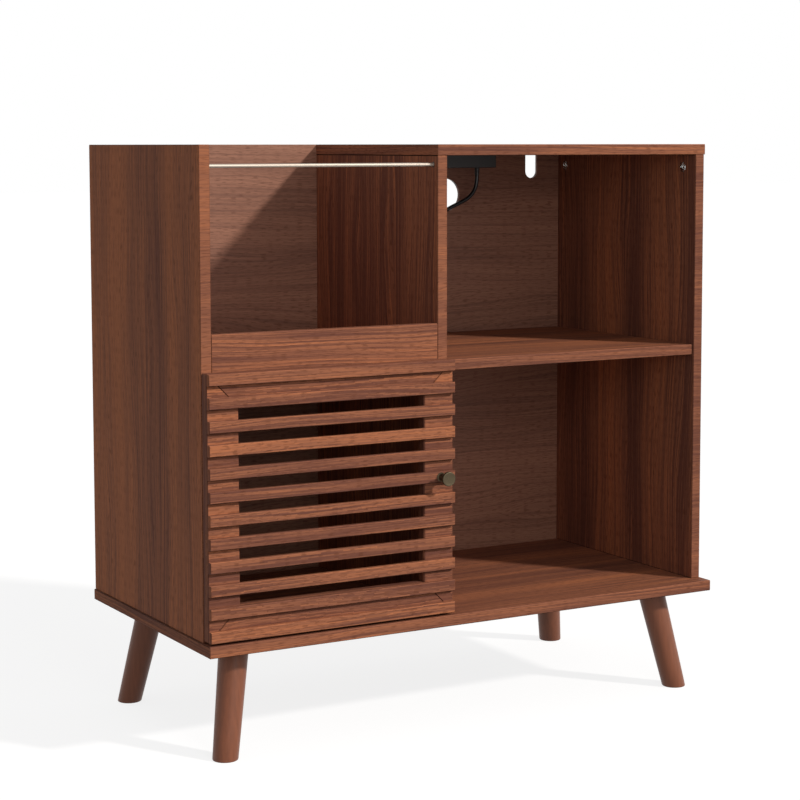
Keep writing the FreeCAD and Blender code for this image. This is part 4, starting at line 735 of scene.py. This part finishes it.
def lead_points(steps):
    """Control points of the lead: down to the shelf, round the coil, and on to the plug.

    The coil has steps points to a turn. It winds inwards on the lower layer and back outwards
    on the upper one.
    """
    low, high = COIL_LAYERS
    turns = [(radius, low) for radius in COIL_RADII]
    turns += [(radius, high) for radius in reversed(COIL_RADII)]
    # The curve runs inside its control points, so they stand further out than its turns.
    bulge = 1 / math.cos(math.pi / steps) ** 0.75
    points = list(LEAD_DROP)
    for count in range(1, int(COIL_TURNS * steps)):
        turn, step = divmod(count, steps)
        radius, height = turns[turn]
        further, higher = turns[min(turn + 1, len(turns) - 1)]
        share = max(0.0, (step / steps - 1 + COIL_CROSSING) / COIL_CROSSING)
        radius = (radius + (further - radius) * share) * bulge
        height += (higher - height) * share
        angle = -2 * math.pi * step / steps
        points.append((COIL_CENTRE[0] + radius * math.cos(angle),
                       COIL_CENTRE[1] + radius * math.sin(angle), height))
    return points + LEAD_TAIL


# ------------------------------------------------------------------ stage

def white_floor(glow_level):
    """Matt floor that takes the cabinet's shadow and that its own light brings up to white."""
    deselect()
    bpy.ops.mesh.primitive_plane_add(size=FLOOR_SIZE, location=(0, 0, 0))
    floor = bpy.context.object
    floor.name = "studio_floor"
    bpy.ops.object.mode_set(mode="EDIT")
    bpy.ops.mesh.subdivide(number_cuts=6)
    bpy.ops.object.mode_set(mode="OBJECT")
    material, tree, output = new_material("matt white paper")
    paper = add_node(tree, "ShaderNodeBsdfDiffuse", {"Color": linear(PAPER)})
    glow = add_node(tree, "ShaderNodeMath", {"operation": "MULTIPLY", 1: glow_level},
                    {0: background_seen(tree)})
    light = add_node(tree, "ShaderNodeEmission", {"Color": (1, 1, 1, 1)},
                     {"Strength": glow.outputs[0]})
    both = add_node(tree, "ShaderNodeAddShader", links={0: paper.outputs[0], 1: light.outputs[0]})
    tree.links.new(both.outputs[0], output.inputs[0])
    floor.data.materials.append(material)


def even_sky(scene, strength):
    """Even light of a strength from all round, behind which the background is white."""
    world = bpy.data.worlds.new("studio")
    world.use_nodes = True
    scene.world = world
    tree = world.node_tree
    tree.nodes.clear()
    output = add_node(tree, "ShaderNodeOutputWorld")
    level = add_node(tree, "ShaderNodeMix", {"A": strength, "B": 1.0},
                     {"Factor": background_seen(tree)})
    sky = add_node(tree, "ShaderNodeBackground", {"Color": (1, 1, 1, 1)},
                   {"Strength": level.outputs[0]})
    tree.links.new(sky.outputs[0], output.inputs[0])


def hang_lamp(scene, power, name, kind, code, place):
    """Lamp of a power, aimed at the cabinet's middle."""
    lamp = bpy.data.lights.new(name, kind)
    lamp.energy = power
    lamp.color = linear(code)[:3]
    if kind == "SUN":
        lamp.angle = KEY_ANGLE
    else:
        lamp.size = SOFT_BOX_SIZE
    holder = bpy.data.objects.new(name, lamp)
    holder.location = place
    holder.rotation_euler = (LAMP_AIM - Vector(place)).to_track_quat("-Z", "Y").to_euler()
    scene.collection.objects.link(holder)


def place_camera(scene, lens):
    """Camera in front and to the left, as high as the top board, with its frame shifted."""
    data = bpy.data.cameras.new("camera")
    data.lens = lens
    data.sensor_width = FILM_WIDTH
    data.shift_x, data.shift_y = CAMERA_SHIFT
    data.clip_end = FAR_CLIP
    camera = bpy.data.objects.new("camera", data)
    camera.location = mm(*CAMERA_PLACE)
    camera.rotation_euler = [math.radians(turn) for turn in CAMERA_TURN]
    scene.collection.objects.link(camera)
    scene.camera = camera


# ------------------------------------------------------------------ operators

class CABINET_OT_stage(bpy.types.Operator):
    """Set up the floor, the lamps and the camera"""
    bl_idname = "cabinet.stage"
    bl_label = "Stage"

    def execute(self, context):
        scene = context.scene
        studio = scene.cabinet_studio
        scene.view_settings.view_transform = "Standard"
        white_floor(studio.floor_glow)
        even_sky(scene, studio.sky)
        for power, lamp in zip((studio.key, studio.fill), LAMPS):
            hang_lamp(scene, power, *lamp)
        place_camera(scene, studio.lens)
        return {"FINISHED"}


class CABINET_OT_carcass(bpy.types.Operator):
    """Finish the boards and the back panels"""
    bl_idname = "cabinet.carcass"
    bl_label = "Carcass"

    def execute(self, context):
        wood = context.scene.cabinet_wood
        tones = (wood.dark, wood.middle, wood.light, wood.pore)
        back_tones = (wood.back_dark, wood.back_middle, wood.back_light, wood.pore)
        upright = printed_wood("walnut laminate, upright grain", tones, "Z", {"Y": "X", "Z": "Y"})
        level = printed_wood("walnut laminate, level grain", tones, "X", {"X": "Y"}, wave=0.02)
        back = printed_wood("walnut-printed back board", back_tones, "X", wave=0.045,
                            roughness=0.45, sheen=0.3)
        dress(upright, "left_side_panel", "right_side_panel", "upper_divider", "lower_divider")
        dress(level, "bottom_panel", "top_panel", "shelf_panel", "bin_front_rail")
        dress(back, "upper_back_panel", "lower_back_panel")
        number_pieces(FIRST_BOARD, BOARDS)
        return {"FINISHED"}


class CABINET_OT_door(bpy.types.Operator):
    """Finish the door frame and its slats"""
    bl_idname = "cabinet.door"
    bl_label = "Door"

    def execute(self, context):
        wood = context.scene.cabinet_wood
        tones = (wood.dark, wood.middle, wood.light, wood.pore)
        # The frame is wrapped in one sheet, so the grain runs level across the stiles too.
        level = printed_wood("walnut door wrap, level grain", tones, "X", {"X": "Z"}, wave=0.02)
        slats = ["door_slat_%02d" % (index + 1) for index in range(len(SLAT_TONES))]
        dress(level, *DOOR_FRAME, *slats)
        number_pieces(FIRST_SLAT, dict(zip(slats, SLAT_TONES)))
        number_pieces(FIRST_STILE, dict.fromkeys(DOOR_FRAME, 0))
        return {"FINISHED"}


class CABINET_OT_legs(bpy.types.Operator):
    """Turn the four splayed legs"""
    bl_idname = "cabinet.legs"
    bl_label = "Legs"

    def execute(self, context):
        material = lacquered_wood(context.scene.cabinet_wood.lacquer)
        pattern = splayed_leg(context.scene.cabinet_legs)
        # One leg is turned round to each corner, quarter turns from the rear right one.
        left, right, front, rear = 61.0, 735.0, 39.0, 313.0
        corners = {
            "rear_right_leg": (right, rear), "rear_left_leg": (left, rear),
            "front_left_leg": (left, front), "front_right_leg": (right, front)}
        for quarter, (name, (x, y)) in enumerate(corners.items()):
            leg = pattern.copy()
            leg.data = pattern.data.copy()
            context.scene.collection.objects.link(leg)
            leg.location = mm(x, y, 0)
            leg.rotation_euler.z = math.radians(90 * quarter)
            settle(leg, name + "_turned", "cabinet", material, name)
        bpy.data.objects.remove(pattern)
        return {"FINISHED"}


class CABINET_OT_fittings(bpy.types.Operator):
    """Finish the rod, the knob, the hinges, the catch and the screws"""
    bl_idname = "cabinet.fittings"
    bl_label = "Fittings"

    def execute(self, context):
        metal = context.scene.cabinet_metal
        champagne = plated_metal("satin champagne aluminium", metal.champagne, 0.5)
        bronze = plated_metal("dark olive bronze", metal.bronze, 0.45)
        zinc = plated_metal("zinc plate", metal.zinc, 0.25)
        end = ROD_RADIUS - ROD_ROUND
        rod = lathe([(end, 0.0), (ROD_RADIUS, ROD_ROUND), (ROD_RADIUS, ROD_LENGTH - ROD_ROUND),
                     (end, ROD_LENGTH)], ROD_START, RIGHT, sides=48)
        settle(rod, "record_rod_drawn", "cabinet", champagne, "record_rod")
        settle(lathe(KNOB_PROFILE, KNOB_SEAT, FRONT), "door_knob_turned", "door", bronze,
               "door_knob")
        knob_x, _, knob_z = KNOB_SEAT
        settle(spread(pan_head(4.5, 1.6), seats(BACK, (knob_x,), (-2.0,), (knob_z,))),
               "knob_screw_head", "door", zinc, "knob_screw")

        back_screws = seats(BACK, (98.25, 264.75, 467.5, 676.5), (357.0,), (501.25, 493.75))
        back_screws += seats(BACK, (355.5,), (357.0,), (587.5, 697.5, 259.0, 391.0))
        bottom_screws = seats(DOWN, (7.5, 355.5, 788.5), (31.0, 182.0, 333.0), (148.0,))
        carcass = join([spread(pan_head(3.5, 1.5), back_screws),
                        spread(socket_head(4.9, 3.0), bottom_screws)])
        settle(carcass, "carcass_screw_heads", "cabinet", zinc, "carcass_screws")

        # The hinges' plates and arms, the catch and the power strip.
        plate_heights = [height + side for height in HINGE_HEIGHTS for side in (-16.0, 16.0)]
        cabinet_screws = seats(RIGHT, (17.0,), (37.0,), plate_heights)
        cabinet_screws += seats(RIGHT, (25.0,), (37.0, 59.0), HINGE_HEIGHTS)
        cabinet_screws += seats(DOWN, (286.6, 323.4), (10.5,), (484.8,))
        cabinet_screws += seats(DOWN, (387.0, 569.0), (312.5,), (762.5,))
        settle(spread(pan_head(3.2, 1.6), cabinet_screws), "cabinet_fitting_screw_heads",
               "cabinet", zinc, "cabinet_fitting_screws")

        # The hinges' cups and the strike plate.
        cup_heights = [height + side for height in HINGE_HEIGHTS for side in (-24.0, 24.0)]
        door_screws = seats(BACK, (26.5,), (-0.8,), cup_heights)
        door_screws += seats(BACK, (289.5, 320.5), (-0.8,), (482.5,))
        settle(spread(pan_head(3.2, 0.8), door_screws), "door_fitting_screw_heads", "door",
               zinc, "door_fitting_screws")

        cams = seats(LEFT, (781.0,), CAM_ROWS, (762.0,))
        cams += seats(RIGHT, (363.0,), CAM_ROWS, (762.0, 523.0, 472.0))
        cams += seats(DOWN, (33.0, 763.0), CAM_ROWS, (490.0,))
        cams += seats(BACK, (33.0, 330.0), (15.0,), (530.0,))
        settle(spread(cam_head(7.4, 6.0), cams), "cam_lock_castings", "cabinet",
               plated_metal("zinc die casting", metal.zinc, 0.22), "cam_locks")

        dress(zinc, "cam_bolts", "leg_fixings", "strike_plate", "catch_pole_plates")
        dress(plated_metal("nickel plate", metal.nickel, 0.25), "hinge_cups", "hinge_cup_pins",
              "hinge_links", "hinge_arms", "hinge_arm_pins", "hinge_mounting_plates")
        dress(moulded_plastic("brown nylon", "#3a2418", 0.5), "rod_sockets", "catch_body")
        dress(moulded_plastic("clear rubber", "#c9c6bd", 0.5), "door_bumpers")
        beech = ("#b98f68", "#cda57c", "#dbb78f", "#a67c56")
        dress(printed_wood("turned beech dowel", beech, "Z", roughness=0.6), "wood_dowels")
        return {"FINISHED"}


class CABINET_OT_power(bpy.types.Operator):
    """Finish the power strip, lay its lead and dress the plug"""
    bl_idname = "cabinet.power"
    bl_label = "Power strip and lead"

    def execute(self, context):
        settings = context.scene.cabinet_lead
        black = moulded_plastic("black ABS", "#252322", 0.45)
        dress(black, "power_strip_housing", "power_strip_sockets")
        relief = [(5.0, 0.0)] + grooves(6, 3.0, 3.0, 4.9, -0.22, 0.7, (0.3, 1.3, 1.6), 0.05)
        relief += [(3.55, 21.6), (3.2, 22.0)]
        settle(lathe(relief, RELIEF_START, DOWN, sides=48), "lead_relief_moulded", "cabinet",
               black, "lead_strain_relief")
        settle(moulded_plug(PLUG_START), "plug_moulded", "cabinet", black, "plug_body")
        settle(hook_tie(), "lead_tie_strap", "cabinet",
               moulded_plastic("black hook tape", "#141414", 0.85, 0.0009), "lead_tie")
        dress(plated_metal("nickelled brass", "#d8cfae", 0.2), "plug_pins")

        points = lead_points(settings.turn_points)
        curve = bpy.data.curves.new("mains_lead_line", "CURVE")
        curve.dimensions = "3D"
        spline = curve.splines.new("NURBS")
        spline.points.add(len(points) - 1)
        for point, place in zip(spline.points, points):
            point.co = (*mm(*place), 1.0)
        spline.order_u = 3
        spline.use_endpoint_u = True
        spline.resolution_u = 4
        curve.bevel_depth = settings.diameter / 2
        curve.bevel_resolution = 4
        curve.use_fill_caps = True
        lead = bpy.data.objects.new("mains_lead_sheath", curve)
        context.scene.collection.objects.link(lead)
        curve.materials.append(moulded_plastic("black PVC sheath", "#171616", 0.33, 0.0012))
        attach(lead, "cabinet")
        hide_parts("mains_lead", "mains_lead_coil")
        return {"FINISHED"}


class CABINET_PT_panel(bpy.types.Panel):
    """Buttons of the cabinet's pieces"""
    bl_label = "Record Cabinet"
    bl_idname = "CABINET_PT_panel"
    bl_space_type = "VIEW_3D"
    bl_region_type = "UI"
    bl_category = "Cabinet"

    def draw(self, context):
        for operator in OPERATORS:
            self.layout.operator(operator.bl_idname)


SETTINGS = {
    "cabinet_wood": CabinetWood, "cabinet_legs": CabinetLegs, "cabinet_metal": CabinetMetal,
    "cabinet_lead": CabinetLead, "cabinet_studio": CabinetStudio}
OPERATORS = (CABINET_OT_stage, CABINET_OT_power, CABINET_OT_carcass, CABINET_OT_door,
             CABINET_OT_legs, CABINET_OT_fittings)


def register():
    """Register the settings, the operators and the panel."""
    for name, group in SETTINGS.items():
        bpy.utils.register_class(group)
        setattr(bpy.types.Scene, name, bpy.props.PointerProperty(type=group))
    for operator in OPERATORS:
        bpy.utils.register_class(operator)
    bpy.utils.register_class(CABINET_PT_panel)


def unregister():
    """Take the panel, the operators and the settings away again."""
    bpy.utils.unregister_class(CABINET_PT_panel)
    for operator in reversed(OPERATORS):
        bpy.utils.unregister_class(operator)
    for name, group in SETTINGS.items():
        delattr(bpy.types.Scene, name)
        bpy.utils.unregister_class(group)


def main():
    """Build the dressed cabinet."""
    register()
    bpy.ops.cabinet.stage()
    bpy.ops.cabinet.power()
    bpy.ops.cabinet.carcass()
    bpy.ops.cabinet.door()
    bpy.ops.cabinet.legs()
    bpy.ops.cabinet.fittings()


if __name__ == "__main__":
    main()
